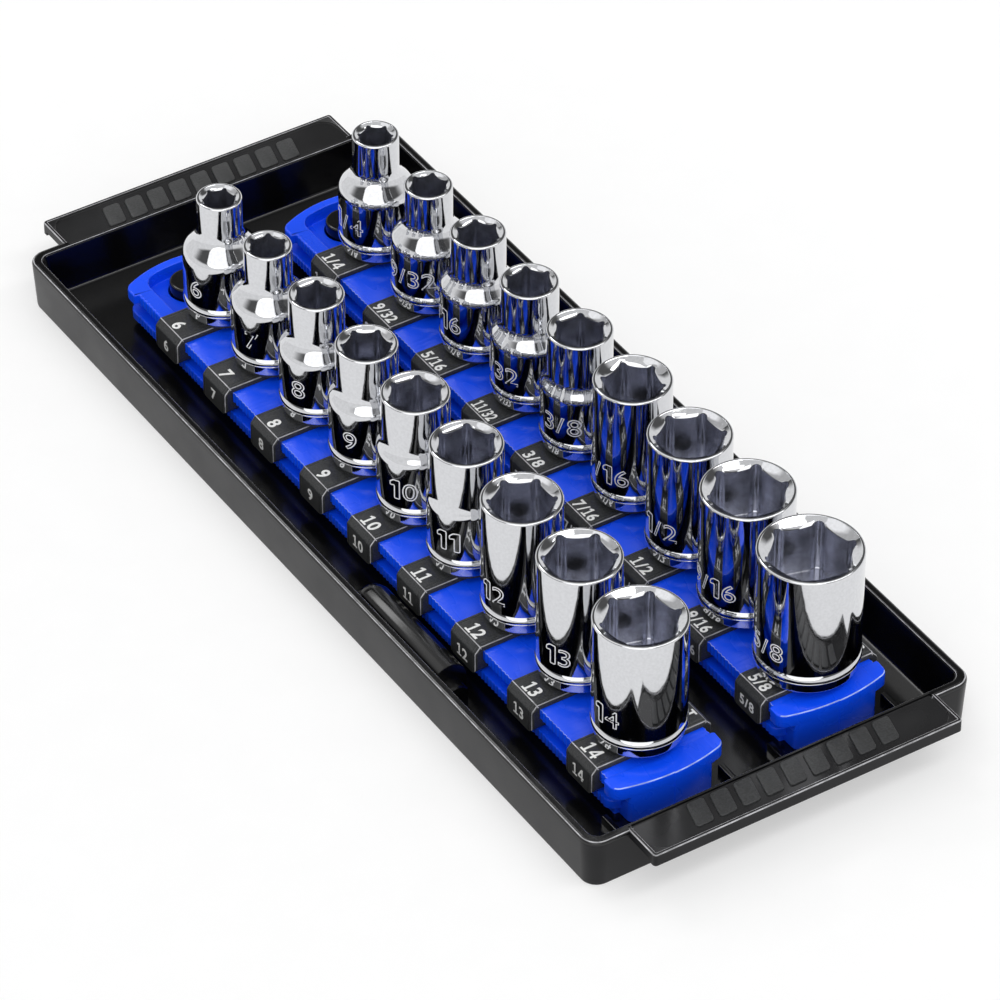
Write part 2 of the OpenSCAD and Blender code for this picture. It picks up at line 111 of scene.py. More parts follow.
def linear_rgb(code):
    """Turns an sRGB hex colour into linear red, green and blue."""
    channels = [int(code[k:k + 2], 16) / 255 for k in (1, 3, 5)]
    return tuple(c / 12.92 if c <= 0.04045 else ((c + 0.055) / 1.055) ** 2.4
                 for c in channels)


def length_prop(name, description, value_mm):
    """A length that a user may change, given in millimetres and kept in metres."""
    return FloatProperty(name=name, description=description, default=value_mm * MM,
                         min=0.0, precision=5, unit="LENGTH", subtype="DISTANCE")


def colour_prop(name, description, code):
    """A colour that a user may change, given as an sRGB hex value."""
    return FloatVectorProperty(name=name, description=description, size=3, min=0.0,
                               max=1.0, subtype="COLOR", default=linear_rgb(code))


class TrayLookSizes(PropertyGroup):
    """Sizes of the moulded tray that only its looks need"""

    rim_outer_radius: length_prop("Rim outer radius", "Rounding of the rim's outer edge", 0.9)
    rim_inner_radius: length_prop("Rim inner radius", "Rounding of the rim's inner edge", 0.4)
    floor_fillet: length_prop("Floor fillet", "Fillet between the walls and the floor", 0.9)
    bar_height: length_prop("Grip bar height", "How far the grip bars stand up", 0.4)


class RailLookSizes(PropertyGroup):
    """Sizes of the moulded rails that only their looks need"""

    tooth_pitch: length_prop("Tooth pitch", "Distance from one edge tooth to the next", 1.27)
    tooth_depth: length_prop("Tooth depth", "Depth of the gaps between the edge teeth", 0.2)
    edge_radius: length_prop("Edge radius", "Rounding of the stops' top edges", 0.4)


class ClipLookSizes(PropertyGroup):
    """Sizes of the clips that only their looks need"""

    number_height: length_prop("Number height", "Height of the printed numbers", 3.3)
    ink_lift: length_prop("Ink thickness", "How far the print stands off the clip", 0.03)


class SocketLookSizes(PropertyGroup):
    """Sizes of the sockets that only their looks need"""

    number_height: length_prop("Number height", "Height of the stamped numbers", 4.8)
    line_width: length_prop("Line width", "Width of a stamped outline", 0.34)


class TrayFinishes(PropertyGroup):
    """Colours of the surfaces"""

    tray: colour_prop("Tray", "Moulded ABS of the tray", "#060607")
    # The tab tops' grey is a painted sheen on the same black ABS as the tray
    panel: colour_prop("Tab panels", "ABS of the end tabs' tops", "#252526")
    # The two edge colours are painted highlights: pale lines where the edges catch the light
    edge: colour_prop("Edges", "Burnished edges of the black parts", "#b6b6ba")
    blue_edge: colour_prop("Blue edges", "Burnished edges of the rails", "#a9bcff")
    wall: colour_prop("Outer walls", "ABS of the outer walls and tabs", "#1c1c1e")
    grip: colour_prop("Grip bars", "Sandblasted ABS of the grip bars", "#28292a")
    rail: colour_prop("Rail", "Moulded polypropylene of the rails", "#0a50ff")
    clip: colour_prop("Clip", "Glass-filled nylon of the clips", "#303132")
    chrome: colour_prop("Chrome", "Polished chrome plate", "#d8d9dc")
    steel: colour_prop("Steel", "Broached steel in the hexagons", "#c3c5d0")
    # The mark colour is a painted highlight: the stamped outlines drawn nearly white
    mark: colour_prop("Mark", "Matt edges of the stamped numbers", "#fafafc")
    ink: colour_prop("Ink", "Pad-printed ink of the numbers", "#f4f4f2")


# Surfaces


def arc(centre, radius, start, end, steps):
    """Points of an arc in the plane, start to end in degrees: centre + radius (cos, sin)."""
    turn = np.radians(np.linspace(start, end, steps + 1))
    return np.stack([centre[0] + radius * np.cos(turn),
                     centre[1] + radius * np.sin(turn)], 1)


def quarter(radius, steps):
    """The points of a quarter circle as pairs: r (1 - cos a) and r (1 - sin a)."""
    return [(radius * (1 - math.cos(a)), radius * (1 - math.sin(a)))
            for a in np.linspace(0, math.pi / 2, steps)]


def rounded_path(corners, radii, steps=4, closed=True):
    """Rounds a polygon's corners: a quadratic curve leaves each corner's first side at
    the given distance, bends towards the corner and reaches its second side."""
    corners = np.asarray(corners, float)
    radii = np.broadcast_to(np.asarray(radii, float), len(corners))[:, None]
    into = corners - np.roll(corners, 1, 0)
    out = np.roll(corners, -1, 0) - corners
    reach_in = np.minimum(radii, np.linalg.norm(into, axis=1, keepdims=True) * 0.48)
    reach_out = np.minimum(radii, np.linalg.norm(out, axis=1, keepdims=True) * 0.48)
    a = corners - into / np.linalg.norm(into, axis=1, keepdims=True) * reach_in
    b = corners + out / np.linalg.norm(out, axis=1, keepdims=True) * reach_out
    t = np.linspace(0, 1, steps + 1)[None, :, None]
    curve = (1 - t) ** 2 * a[:, None] + 2 * t * (1 - t) * corners[:, None] + t ** 2 * b[:, None]
    if not closed:
        return np.concatenate([corners[:1], curve[1:-1].reshape(-1, 2), corners[-1:]])
    return curve.reshape(-1, 2)


def rounded_box_outline(half_w, half_l, radius, steps=6, splits=()):
    """A rectangle with round corners, counter-clockwise, with extra points across both
    short sides at the given x places."""
    w, l, r = half_w, half_l, radius
    splits = np.asarray(splits, float)
    return np.concatenate([
        arc((w - r, l - r), r, 0, 90, steps),
        np.stack([-splits, np.full(len(splits), l)], 1),
        arc((r - w, l - r), r, 90, 180, steps),
        arc((r - w, r - l), r, 180, 270, steps),
        np.stack([splits, np.full(len(splits), -l)], 1),
        arc((w - r, r - l), r, 270, 360, steps)])


def held(profile, gap=0.05):
    """Adds a point close to both ends of every long side of an open profile, so that the
    smooth shading of the bends stays out of the straight stretches."""
    profile = np.asarray(profile, float)
    kept = [profile[:1]]
    for a, b in zip(profile[:-1], profile[1:]):
        length = np.linalg.norm(b - a)
        if length > 8 * gap:
            kept.append(np.stack([a + (b - a) * gap / length, b - (b - a) * gap / length]))
        kept.append(b[None])
    return np.concatenate(kept)


def inset(outline, distance):
    """Moves each point of a counter-clockwise outline inwards along its normal."""
    along = np.roll(outline, -1, 0) - np.roll(outline, 1, 0)
    along = along / np.maximum(np.linalg.norm(along, axis=1, keepdims=True), 1e-9)
    return outline + distance * np.stack([-along[:, 1], along[:, 0]], 1)


def at_height(outline, z):
    """Puts an outline in space at the height z."""
    return np.concatenate([outline, np.full((len(outline), 1), float(z))], 1)


class Shell:
    """Gathers closed surfaces in millimetres and makes them one mesh object."""

    def __init__(self):
        self.points, self.loops, self.counts = [], [], []
        self.slots, self.smooth = [], []
        self.size = 0

    def add(self, points, faces, slot=0, flat=()):
        """Adds one closed surface; its faces are turned outwards by its signed volume,
        the sum over all triangles of a . (b x c). The groups named in flat stay flat."""
        points = np.asarray(points, float).reshape(-1, 3)
        fans = np.concatenate([
            np.stack([np.repeat(f[:, :1], f.shape[1] - 2, 1), f[:, 1:-1], f[:, 2:]], -1
                     ).reshape(-1, 3) for f in faces])
        a, b, c = (points[fans[:, k]] - points.mean(0) for k in range(3))
        inside_out = (a * np.cross(b, c)).sum() < 0
        for k, group in enumerate(faces):
            if inside_out:
                group = group[:, ::-1]
            kind = slot[k] if isinstance(slot, (list, tuple)) else slot
            self.loops.append((group + self.size).ravel())
            self.counts.append(np.full(len(group), group.shape[1]))
            self.slots.append(np.broadcast_to(np.asarray(kind), len(group)))
            self.smooth.append(np.full(len(group), k not in flat))
        self.points.append(points)
        self.size += len(points)

    def tube(self, rings, slot=0):
        """A surface on a grid: closed rings (k, n, 3) joined in turn, flat ends closed;
        slot may give each band's own material, or each face's."""
        rings = np.asarray(rings, float)
        k, n, _ = rings.shape
        index = np.arange(k * n).reshape(k, n)
        on = np.roll(index, -1, 1)
        quads = np.stack([index[:-1], on[:-1], on[1:], index[1:]], -1).reshape(-1, 4)
        if np.ndim(slot) == 1:
            slot = np.repeat(np.asarray(slot)[:, None], n, 1)
        if np.ndim(slot) == 2:
            slot = [slot.ravel(), slot[0, 0], slot[-1, 0]]
        self.add(rings, [quads, index[:1, ::-1], index[-1:]], slot, (1, 2))

    def ring(self, rings, slot=0):
        """A surface on a grid that closes both ways: rings (k, n, 3), last joined to
        first; slot may give each ring's own material."""
        rings = np.asarray(rings, float)
        k, n, _ = rings.shape
        index = np.arange(k * n).reshape(k, n)
        on, up = np.roll(index, -1, 1), np.roll(index, -1, 0)
        quads = np.stack([index, on, np.roll(on, -1, 0), up], -1).reshape(-1, 4)
        self.add(rings, [quads], [np.repeat(slot, n)] if np.ndim(slot) else slot)

    def slab(self, outline, low, high, edge=0.0, low_edge=0.0, steps=3, slot=0,
             shares=None):
        """A plate: an outline carried upwards, with its edges rounded by a quarter
        circle, inset = r (1 - cos a) and height = r sin a. Each point may take only its
        share of the upper edge's rounding."""
        shares = np.ones(len(outline)) if shares is None else np.asarray(shares)
        levels = [(0.0, low)]
        if low_edge:
            levels = [(into, low + up) for up, into in quarter(low_edge, steps + 1)]
        if edge:
            levels += [(into, high - down) for into, down in quarter(edge, steps + 1)]
        else:
            levels.append((0.0, high))
        rings = []
        for k, (d, z) in enumerate(levels):
            part = shares if edge and k >= len(levels) - steps - 1 else np.ones_like(shares)
            ring = at_height(inset(outline, (d * part)[:, None]), z)
            ring[:, 2] = high - (high - z) * part
            rings.append(ring)
        self.tube(rings, slot)

    def build(self, name, materials, sharp=40):
        """Makes the object, with smooth faces and sharp edges past the given angle."""
        mesh = bpy.data.meshes.new(name)
        points = np.concatenate(self.points).astype(np.float32) * np.float32(MM)
        loops = np.concatenate(self.loops).astype(np.int32)
        counts = np.concatenate(self.counts).astype(np.int32)
        slots = np.concatenate(self.slots).astype(np.int32)
        mesh.vertices.add(len(points))
        mesh.vertices.foreach_set("co", points.ravel())
        mesh.loops.add(len(loops))
        mesh.loops.foreach_set("vertex_index", loops)
        mesh.polygons.add(len(counts))
        mesh.polygons.foreach_set("loop_start", np.cumsum(counts) - counts)
        mesh.polygons.foreach_set("loop_total", counts)
        mesh.polygons.foreach_set("material_index", slots)
        mesh.polygons.foreach_set("use_smooth", np.concatenate(self.smooth))
        mesh.update(calc_edges=True)
        mesh.validate()
        mesh.set_sharp_from_angle(angle=math.radians(sharp))
        for material in materials:
            mesh.materials.append(material)
        piece = bpy.data.objects.new(name, mesh)
        bpy.context.scene.collection.objects.link(piece)
        return piece


def box_mm(node):
    """A CAD node's lowest and highest corners in millimetres."""
    low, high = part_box(node)
    return np.array(low) / MM, np.array(high) / MM


# Materials


def add_node(owner, kind, settings=None, links=None):
    """Adds one node with its settings, and links each named input to a socket."""
    made = owner.node_tree.nodes.new(kind)
    for key, value in (settings or {}).items():
        if isinstance(key, int) or key in made.inputs:
            made.inputs[key].default_value = value
        else:
            setattr(made, key, value)
    for key, source in (links or {}).items():
        owner.node_tree.links.new(source, made.inputs[key])
    return made


EVEN = (1.0, 1.0, 1.0)


def patterned(name, colour, patterns, shades, rough, relief=None, spread=(0.35, 0.65),
              plain=None):
    """A material made from one or two noises, each given as the size of its features in
    millimetres, its detail, its roughness and its scale along each axis. The first noise
    carries the colour between two shades of it, and the roughness too where that is a
    pair. The last one raises the relief, a bump's strength and its depth in millimetres.

    A pixel of the photo's view is about 0.2 mm. The grain of the tools and the ink, the
    fibres and the haze are finer than that in truth, so they are drawn as coarse as they
    need to show, 0.25 to 0.6 mm."""
    material = bpy.data.materials.new(name)
    material.use_nodes = True
    shader = material.node_tree.nodes["Principled BSDF"]
    where = add_node(material, "ShaderNodeTexCoord").outputs["Object"]
    noises = []
    for size, detail, roughness, scale in patterns:
        scaled = add_node(material, "ShaderNodeMapping", {"Scale": scale}, {"Vector": where})
        made = add_node(material, "ShaderNodeTexNoise",
                        {"Scale": 1 / (size * MM), "Detail": detail, "Roughness": roughness},
                        {"Vector": scaled.outputs["Vector"]})
        noises.append(made.outputs["Fac"])
    tint = add_node(material, "ShaderNodeValToRGB", None, {"Fac": noises[0]})
    for element, place, share in zip(tint.color_ramp.elements, spread, shades):
        element.position = place
        element.color = (*(min(1.0, channel * share) for channel in colour), 1)
    links = material.node_tree.links
    links.new(tint.outputs["Color"], shader.inputs["Base Color"])
    if isinstance(rough, tuple):
        level = add_node(material, "ShaderNodeMapRange",
                         {"From Min": 0.3, "From Max": 0.7, "To Min": rough[0],
                          "To Max": rough[1]}, {"Value": noises[0]})
        links.new(level.outputs["Result"], shader.inputs["Roughness"])
    else:
        shader.inputs["Roughness"].default_value = rough
    if relief:
        bump = add_node(material, "ShaderNodeBump",
                        {"Strength": relief[0], "Distance": relief[1] * MM},
                        {"Height": noises[-1]})
        links.new(bump.outputs["Normal"], shader.inputs["Normal"])
    for key, value in (plain or {}).items():
        shader.inputs[key].default_value = value
    return material


def moulded_abs(colour):
    """Injection-moulded ABS from a polished tool: near-black and glossy, with the faint
    waviness and fine grain that break up its highlights."""
    return patterned("moulded_abs_black", colour,
                     [(14.0, 2.0, 0.5, EVEN), (0.35, 3.0, 0.5, EVEN)],
                     (0.85, 1.2), (0.14, 0.22), (0.1, 0.03),
                     plain={"IOR": 1.53, "Specular IOR Level": 0.45})


def dull_abs(colour):
    """The same ABS on the tray's outer walls and end tabs, where the tool was only
    ground: a satin grey-black that spreads its highlights."""
    return patterned("ground_tool_abs_black", colour,
                     [(11.0, 2.0, 0.5, EVEN), (0.3, 3.0, 0.5, EVEN)],
                     (0.85, 1.2), (0.3, 0.38), (0.2, 0.03),
                     plain={"IOR": 1.53, "Specular IOR Level": 0.16})


def burnished_edge(colour, name):
    """A thin, pale and smooth line along a moulding's edge: a painted highlight, which
    draws the bright outline that the edges have."""
    return patterned(name, colour, [(2.5, 3.0, 0.5, EVEN)], (0.55, 1.1), (0.2, 0.35))


def sandblasted_abs(colour):
    """The same ABS where the tool was sandblasted: a coarser, duller grain that looks
    grey beside the polished surface."""
    return patterned("sandblasted_abs_black", colour, [(0.5, 4.0, 0.6, EVEN)],
                     (0.55, 1.7), 0.42, (0.7, 0.12), plain={"IOR": 1.53})


def moulded_polypropylene(colour):
    """Injection-moulded polypropylene, dyed right through: a deep even blue with a soft
    satin gloss and slight flow marks along the rail."""
    return patterned("moulded_polypropylene_blue", colour,
                     [(6.0, 2.0, 0.5, (1.0, 0.25, 1.0)), (0.3, 2.0, 0.5, EVEN)],
                     (0.96, 1.03), (0.24, 0.3), (0.15, 0.03), plain={"IOR": 1.49})


def glass_filled_nylon(colour):
    """Glass-filled nylon from a textured tool: dark grey and matte, with pale specks of
    fibre at the skin."""
    return patterned("glass_filled_nylon_black", colour, [(0.3, 4.0, 0.65, EVEN)],
                     (0.7, 2.0), (0.3, 0.44), (0.35, 0.06), (0.4, 0.75),
                     {"IOR": 1.55, "Specular IOR Level": 0.3})


def chrome_plate(colour):
    """Chrome plate on a polished steel forging: mirror-bright, with slow ripples left
    by polishing that bend the reflections, and fine haze."""
    return patterned("polished_chrome_plate", colour,
                     [(0.6, 3.0, 0.5, EVEN), (3.2, 1.0, 0.5, EVEN)],
                     (0.93, 1.0), (0.03, 0.08), (0.45, 0.03), plain={"Metallic": 1.0})


def broached_steel(colour):
    """Thinly plated steel inside the broached hexagon: bluish and half mirror, with
    cloudy patches and drag lines that the broach left down the walls."""
    return patterned("broached_steel", colour,
                     [(4.0, 2.0, 0.5, EVEN), (0.5, 3.0, 0.6, (1.0, 1.0, 0.06))],
                     (0.8, 1.05), (0.12, 0.26), (0.3, 0.04), plain={"Metallic": 0.95})


def stamped_edge(colour):
    """The stamped outlines, matt and nearly white beside the mirror of the plate: a
    painted highlight for the light that the stamped lines catch."""
    return patterned("stamped_line_painted_highlight", colour, [(0.25, 2.0, 0.5, EVEN)],
                     (0.8, 1.0), 0.4)


def pad_print_ink(colour):
    """Pad-printed ink: flat white with a dry, slightly uneven film."""
    return patterned("pad_print_ink_white", colour, [(0.5, 3.0, 0.5, EVEN)],
                     (0.86, 1.0), 0.6, spread=(0.25, 0.6))


def pressed_paper(colour):
    """Pale matte studio paper under the tray. It looks the same white to the camera and
    in the metal, and it keeps the shadow."""
    material = patterned("studio_paper", colour, [(9.0, 3.0, 0.5, EVEN)],
                         (0.985, 1.0), 0.9, plain={"Specular IOR Level": 0.1})
    seen = add_node(material, "ShaderNodeLightPath")
    direct = add_node(material, "ShaderNodeMath", {"operation": "MAXIMUM"},
                      {0: seen.outputs["Is Camera Ray"], 1: seen.outputs["Is Glossy Ray"]})
    direct = add_node(material, "ShaderNodeMath", {"operation": "MAXIMUM"},
                      {0: direct.outputs[0], 1: seen.outputs["Is Transmission Ray"]})
    lift = add_node(material, "ShaderNodeMath", {"operation": "MULTIPLY", 1: PAPER_LIFT},
                    {0: direct.outputs[0]})
    shader = material.node_tree.nodes["Principled BSDF"]
    shader.inputs["Emission Color"].default_value = (1, 1, 1, 1)
    material.node_tree.links.new(lift.outputs[0], shader.inputs["Emission Strength"])
    return material


FINISHES = {}

# Stage

# The paper's colour, and the light that it adds for the rays that see it directly
PAPER = "#bdbdbd"
PAPER_LIFT = 0.46
# The paper's half width, corner radius, thickness and distance under the tray, in mm
PAPER_HALF, PAPER_CORNER, PAPER_THICK, PAPER_GAP = 6000, 2000, 4.95, 0.05
# Strength of the room's walls, of the gap above them and of the soft light overhead
AIR = {"walls": 0.9, "gap": 0.1, "light": 0.75}
# Each lamp's name, direction and power, and a sun's spread in degrees or the width and
# height of a strip in metres
SUNS = [("key", (-0.6, -0.75, 0.85), 1.1, 60), ("far", (-0.6, 0.7, 1.2), 0.25, 50)]
STRIPS = [("front_strip", (0.35, -0.4, 0.85), 5.5, (1.3, 0.35)),
          ("far_strip", (-0.05, 0.648, 0.78), 3.0, (0.75, 0.25))]
STRIP_DISTANCE = 1.6
# The photo's camera: place and near and far ends of its view in metres, turn, tilt and
# roll in degrees, film width and lens in millimetres, and the picture's shift
CAMERA_PLACE, CAMERA_REACH = (-0.5450, -0.8627, 0.8508), (0.05, 50.0)
CAMERA_ANGLES = (32.5, 39.8, -0.14)
FILM_WIDTH, CAMERA_LENS, CAMERA_SHIFT = 36.0, 225.444, (0.00084, 0.00031)


# Operators


class SOCKETTRAY_OT_stage(Operator):
    """Add the pale floor, the soft light and the camera"""

    bl_idname = "socket_tray.stage"
    bl_label = "Stage"

    def execute(self, context):
        floor = Shell()
        ground = rounded_box_outline(PAPER_HALF, PAPER_HALF, PAPER_CORNER, 12)
        floor.slab(ground, -PAPER_THICK - PAPER_GAP, -PAPER_GAP)
        piece = floor.build("studio_floor", [pressed_paper(linear_rgb(PAPER))])
        context.scene.world = self.studio_air()
        for name, towards, power, spread in SUNS:
            lamp = bpy.data.lights.new(f"soft_{name}", "SUN")
            lamp.angle = math.radians(spread)
            self.hang(lamp, towards, power)
        for name, towards, power, sides in STRIPS:
            lamp = bpy.data.lights.new(f"soft_{name}", "AREA")
            lamp.shape = "RECTANGLE"
            lamp.size, lamp.size_y = sides
            self.hang(lamp, towards, power)
        self.point_camera(context.scene)
        context.scene.view_settings.view_transform = "Standard"
        return {"FINISHED"}

    @staticmethod
    def point_camera(scene):
        """Places the photo's camera: turned from the rails' direction, tilted down and
        rolled about its own line of sight."""
        camera = bpy.data.cameras.new("photo_camera")
        camera.sensor_width, camera.lens = FILM_WIDTH, CAMERA_LENS
        camera.shift_x, camera.shift_y = CAMERA_SHIFT
        camera.clip_start, camera.clip_end = CAMERA_REACH
        holder = bpy.data.objects.new("photo_camera", camera)
        turn, down, roll = (math.radians(angle) for angle in CAMERA_ANGLES)
        level = np.array([math.sin(turn), math.cos(turn), 0.0])
        right = np.array([math.cos(turn), -math.sin(turn), 0.0])
        up = np.array([0.0, 0.0, 1.0])
        ahead = level * math.cos(down) - up * math.sin(down)
        above = level * math.sin(down) + up * math.cos(down)
        side = right * math.cos(roll) + above * math.sin(roll)
        top = above * math.cos(roll) - right * math.sin(roll)
        holder.matrix_world = frame_matrix(side, top, -ahead, CAMERA_PLACE)
        scene.collection.objects.link(holder)
        scene.camera = holder

    @staticmethod
    def hang(lamp, towards, power):
        """Places a lamp in the given direction from the tray and aims it there."""
        lamp.energy = power
        holder = bpy.data.objects.new(lamp.name, lamp)
        back = np.array(towards, float)
        back /= np.linalg.norm(back)
        side = np.cross((0.0, 1.0, 0.0), back)
        side /= np.linalg.norm(side)
        holder.matrix_world = frame_matrix(side, np.cross(back, side), back,
                                           back * STRIP_DISTANCE)
        bpy.context.scene.collection.objects.link(holder)

    @staticmethod
    def studio_air():
        """A white room with a wide soft light overhead: its strength goes by the height
        that a direction points to, from the walls over a darker gap to the light."""
        world = bpy.data.worlds.new("studio_air")
        world.use_nodes = True
        where = add_node(world, "ShaderNodeTexCoord").outputs["Generated"]
        height = add_node(world, "ShaderNodeSeparateXYZ", None, {0: where}).outputs["Z"]
        parts = []
        for start, end, low, high in ((0.36, 0.54, AIR["walls"], AIR["gap"]),
                                      (0.7, 0.82, 0.0, AIR["light"] - AIR["gap"])):
            part = add_node(world, "ShaderNodeMapRange",
                            {"interpolation_type": "SMOOTHSTEP", "From Min": start,
                             "From Max": end, "To Min": low, "To Max": high},
                            {"Value": height})
            parts.append(part.outputs["Result"])
        total = add_node(world, "ShaderNodeMath", {"operation": "ADD"},
                         {0: parts[0], 1: parts[1]}).outputs[0]
        background = world.node_tree.nodes["Background"]
        background.inputs["Color"].default_value = (1, 1, 1, 1)
        world.node_tree.links.new(total, background.inputs["Strength"])
        return world


def frame_matrix(side, top, back, place):
    """A placing matrix from its three axes and its place."""
    rows = np.eye(4)
    rows[:3, 0], rows[:3, 1], rows[:3, 2], rows[:3, 3] = side, top, back, place
    return Matrix(rows.tolist())


class SOCKETTRAY_OT_tray(Operator):
    """Mould the tray: walls, rim, floor, end tabs, ribs, hooks and hump"""

    bl_idname = "socket_tray.tray"
    bl_label = "Tray"

    def execute(self, context):
        _, high = box_mm("tray")
        half_w, half_l, top = high[0], high[1] - TAB_LENGTH, high[2]
        body = Shell()
        self.walls(body, context.scene.tray_look_sizes, half_w, half_l, top)
        tab_start = half_l - RIM_WIDTH + TAB_ROOT
        for end in (-1, 1):
            self.tab(body, end, tab_start, half_l + TAB_LENGTH, top)
        self.ribs_and_hooks(body, half_l - RIM_WIDTH)
        self.hump(body, half_w - RIM_WIDTH)
        finishes = [FINISHES[k] for k in ("abs", "dull_abs", "edge", "panel")]
        piece = body.build("tray_moulding", finishes, 30)
        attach(piece, "tray_body")
        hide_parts("tray")
        return {"FINISHED"}

    @staticmethod
    def walls(body, sizes, half_w, half_l, top):
        """Walls, rim and floor as rings, from the underside up the outside, over the rim
        and down the inside. The middle of both short sides is sunk to the tabs' panels."""
        outer_r = sizes.rim_outer_radius / MM
        inner_r = sizes.rim_inner_radius / MM
        fillet = sizes.floor_fillet / MM
        draft, foot_r, lean, below_rim, hold = 0.6, 0.5, 2.1, 0.6, 0.1
        corner_r, corner_share, least_r = 4.0, 0.72, 0.6
        panel, bevel = TAB_HALF - 1.0, 0.12
        splits = np.array([-panel - bevel, -panel, -panel + bevel,
                           panel - bevel, panel, panel + bevel])

        def ring(move_in, z, sunk=0.0):
            radius = max(corner_r - move_in * corner_share, least_r)
            outline = rounded_box_outline(half_w - move_in, half_l - move_in, radius, 10,
                                          splits)
            points = at_height(outline, z)
            ends = np.abs(outline[:, 1]) > half_l - move_in - 0.01
            in_panel = ends & (np.abs(outline[:, 0]) < panel)
            points[in_panel, 2] = np.minimum(points[in_panel, 2], top - sunk)
            return points

        under_panel = PANEL_DIP + 0.012
        # Where the rim's lip rises from the panel: how far further in and how far down
        lip, lip_steps = 1.42, ((0.0, under_panel), (0.02, 0.12), (0.06, 0.03), (0.14, 0.0))
        rings = [ring(draft + 1.2, 0.0), ring(draft + 0.35, 0.0), ring(draft + 0.1, 0.12),
                 ring(draft, foot_r), ring(0.05, top - outer_r - below_rim)]
        outer_arc = len(rings)
        rings += [ring(into, top - down, under_panel) for into, down in quarter(outer_r, 7)]
        rings.append(ring(outer_r + 0.06, top, under_panel))
        rings += [ring(lip + more, top, sunk) for more, sunk in lip_steps]
        rings.append(ring(RIM_WIDTH - inner_r - 0.04, top))
        inner_arc = len(rings)
        rings += [ring(RIM_WIDTH - into, top - down) for down, into in quarter(inner_r, 6)]
        rings += [ring(RIM_WIDTH + lean * (top - z) / (top - TRAY_FLOOR), z)
                  for z in (top - inner_r - hold, top - 3.0, TRAY_FLOOR + fillet + hold)]
        foot = RIM_WIDTH + lean
        rings += [ring(foot - 0.15 + fillet * (1 - math.cos(a)),
                       TRAY_FLOOR + fillet * (1 - math.sin(a)))
                  for a in np.linspace(0.2, math.pi / 2, 7)]
        rings.append(ring(foot - 0.05 + fillet, TRAY_FLOOR))
        bands = np.full(len(rings) - 1, GLOSSY)
        bands[:outer_arc] = DULL
        # One band in each of the rim's roundings carries the painted highlight
        bands[[outer_arc + 3, inner_arc + 2]] = PAINTED_HIGHLIGHT
        body.tube(rings, bands)

    @staticmethod
    def tab(body, end, inner_y, outer_y, top):
        """An end tab: a plate with a skirt below and a raised border round its sunken
        panel. The skirt is deep along the outer edge only. The tab's inner end lies
        inside the rim, where it closes below the panel's surface."""
        skirt_w, skirt_h, end_h, edge_r, corner_r, panel_r = 1.6, 3.0, 2.0, 0.35, 0.8, 5.0
        border, border_w, border_h, root_w = 0.8, 0.15, 0.2, 1.4
        low = top - PANEL_DIP - 0.2
        step_y = outer_y - skirt_w

        def outline(move_in, z, corner=corner_r):
            w, y = TAB_HALF - move_in, outer_y - move_in
            r = max(corner - move_in, 0.25)
            side = [(w, inner_y), (w, step_y - 0.05), (w, step_y + 0.05)]
            if corner > corner_r:
                side[1:] = [(w, y - r - 0.2), (w, y - r - 0.1)]
            side = np.array(side)
            points = at_height(np.concatenate([
                side, arc((w - r, y - r), r, 0, 90, 8), arc((r - w, y - r), r, 90, 180, 8),
                side[::-1] * [-1, 1],
                [[root_w - TAB_HALF, inner_y], [TAB_HALF - root_w, inner_y]]]), z)
            ends = points[:, 1] < step_y
            points[ends, 2] = np.maximum(points[ends, 2], top - end_h)
            points[-2:, 2] = min(low, z)
            return points * [end, end, 1]

        rings = [outline(skirt_w, top - 1.6), outline(skirt_w, top - skirt_h),
                 outline(0.15, top - skirt_h), outline(0.0, top - skirt_h + 0.15),
                 outline(0.0, top - edge_r - 0.05)]
        rings += [outline(into, top - down) for into, down in quarter(edge_r, 5)]
        rings += [outline(edge_r + 0.05, top), outline(0.66, top), outline(0.78, top - 0.05)]
        rings += [outline(border + border_w * math.sin(a),
                          top - 0.05 - border_h * (1 - math.cos(a)), panel_r)
                  for a in np.linspace(0, math.pi / 2, 4)]
        rings.append(outline(0.97, top - PANEL_DIP + 0.05, panel_r))
        rings += [outline(more, top - PANEL_DIP, panel_r) for more in (1.05, 1.3, 1.42)]
        # Two bands in the outer edge's rounding and one at the inner edge of the bead carry the
        # painted highlight; the rest of the top carries the painted sheen grey
        body.tube(rings, np.array([DULL] * 5 + [SHEEN_PANEL, PAINTED_HIGHLIGHT, PAINTED_HIGHLIGHT, SHEEN_PANEL, SHEEN_PANEL, SHEEN_PANEL, PAINTED_HIGHLIGHT]
                                  + [SHEEN_PANEL] * 8))

    @staticmethod
    def ribs_and_hooks(body, inner_l):
        """A pair of floor ribs beside each rail's near end, and a hook past its far end."""
        rib_half, rib_gap, rib_l, rib_overlap, rib_top, rib_r = 0.7, 0.7, 12, 0.5, 4.0, 0.3
        hook_half, hook_half_t, hook_gap, hook_top, hook_r = 2.5, 1.2, 1.2, 8.0, 0.4
        root = TRAY_FLOOR / 2
        rib = rounded_box_outline(rib_half, (rib_l - rib_overlap) / 2, rib_r, 3)
        hook = rounded_box_outline(hook_half, hook_half_t, hook_r, 3)
        for row in ROWS:
            low, high = box_mm(f"rail_{ROW_WORDS[row]}")
            x = (low[0] + high[0]) / 2
            for side in (-1, 1):
                place = [x + side * (LOW_HALF + rib_gap + rib_half),
                         -inner_l + (rib_l + rib_overlap) / 2]
                body.slab(rib + place, root, rib_top, rib_r)
            place = [x, high[1] + hook_gap + hook_half_t]
            body.slab(hook + place, root, hook_top, hook_r)

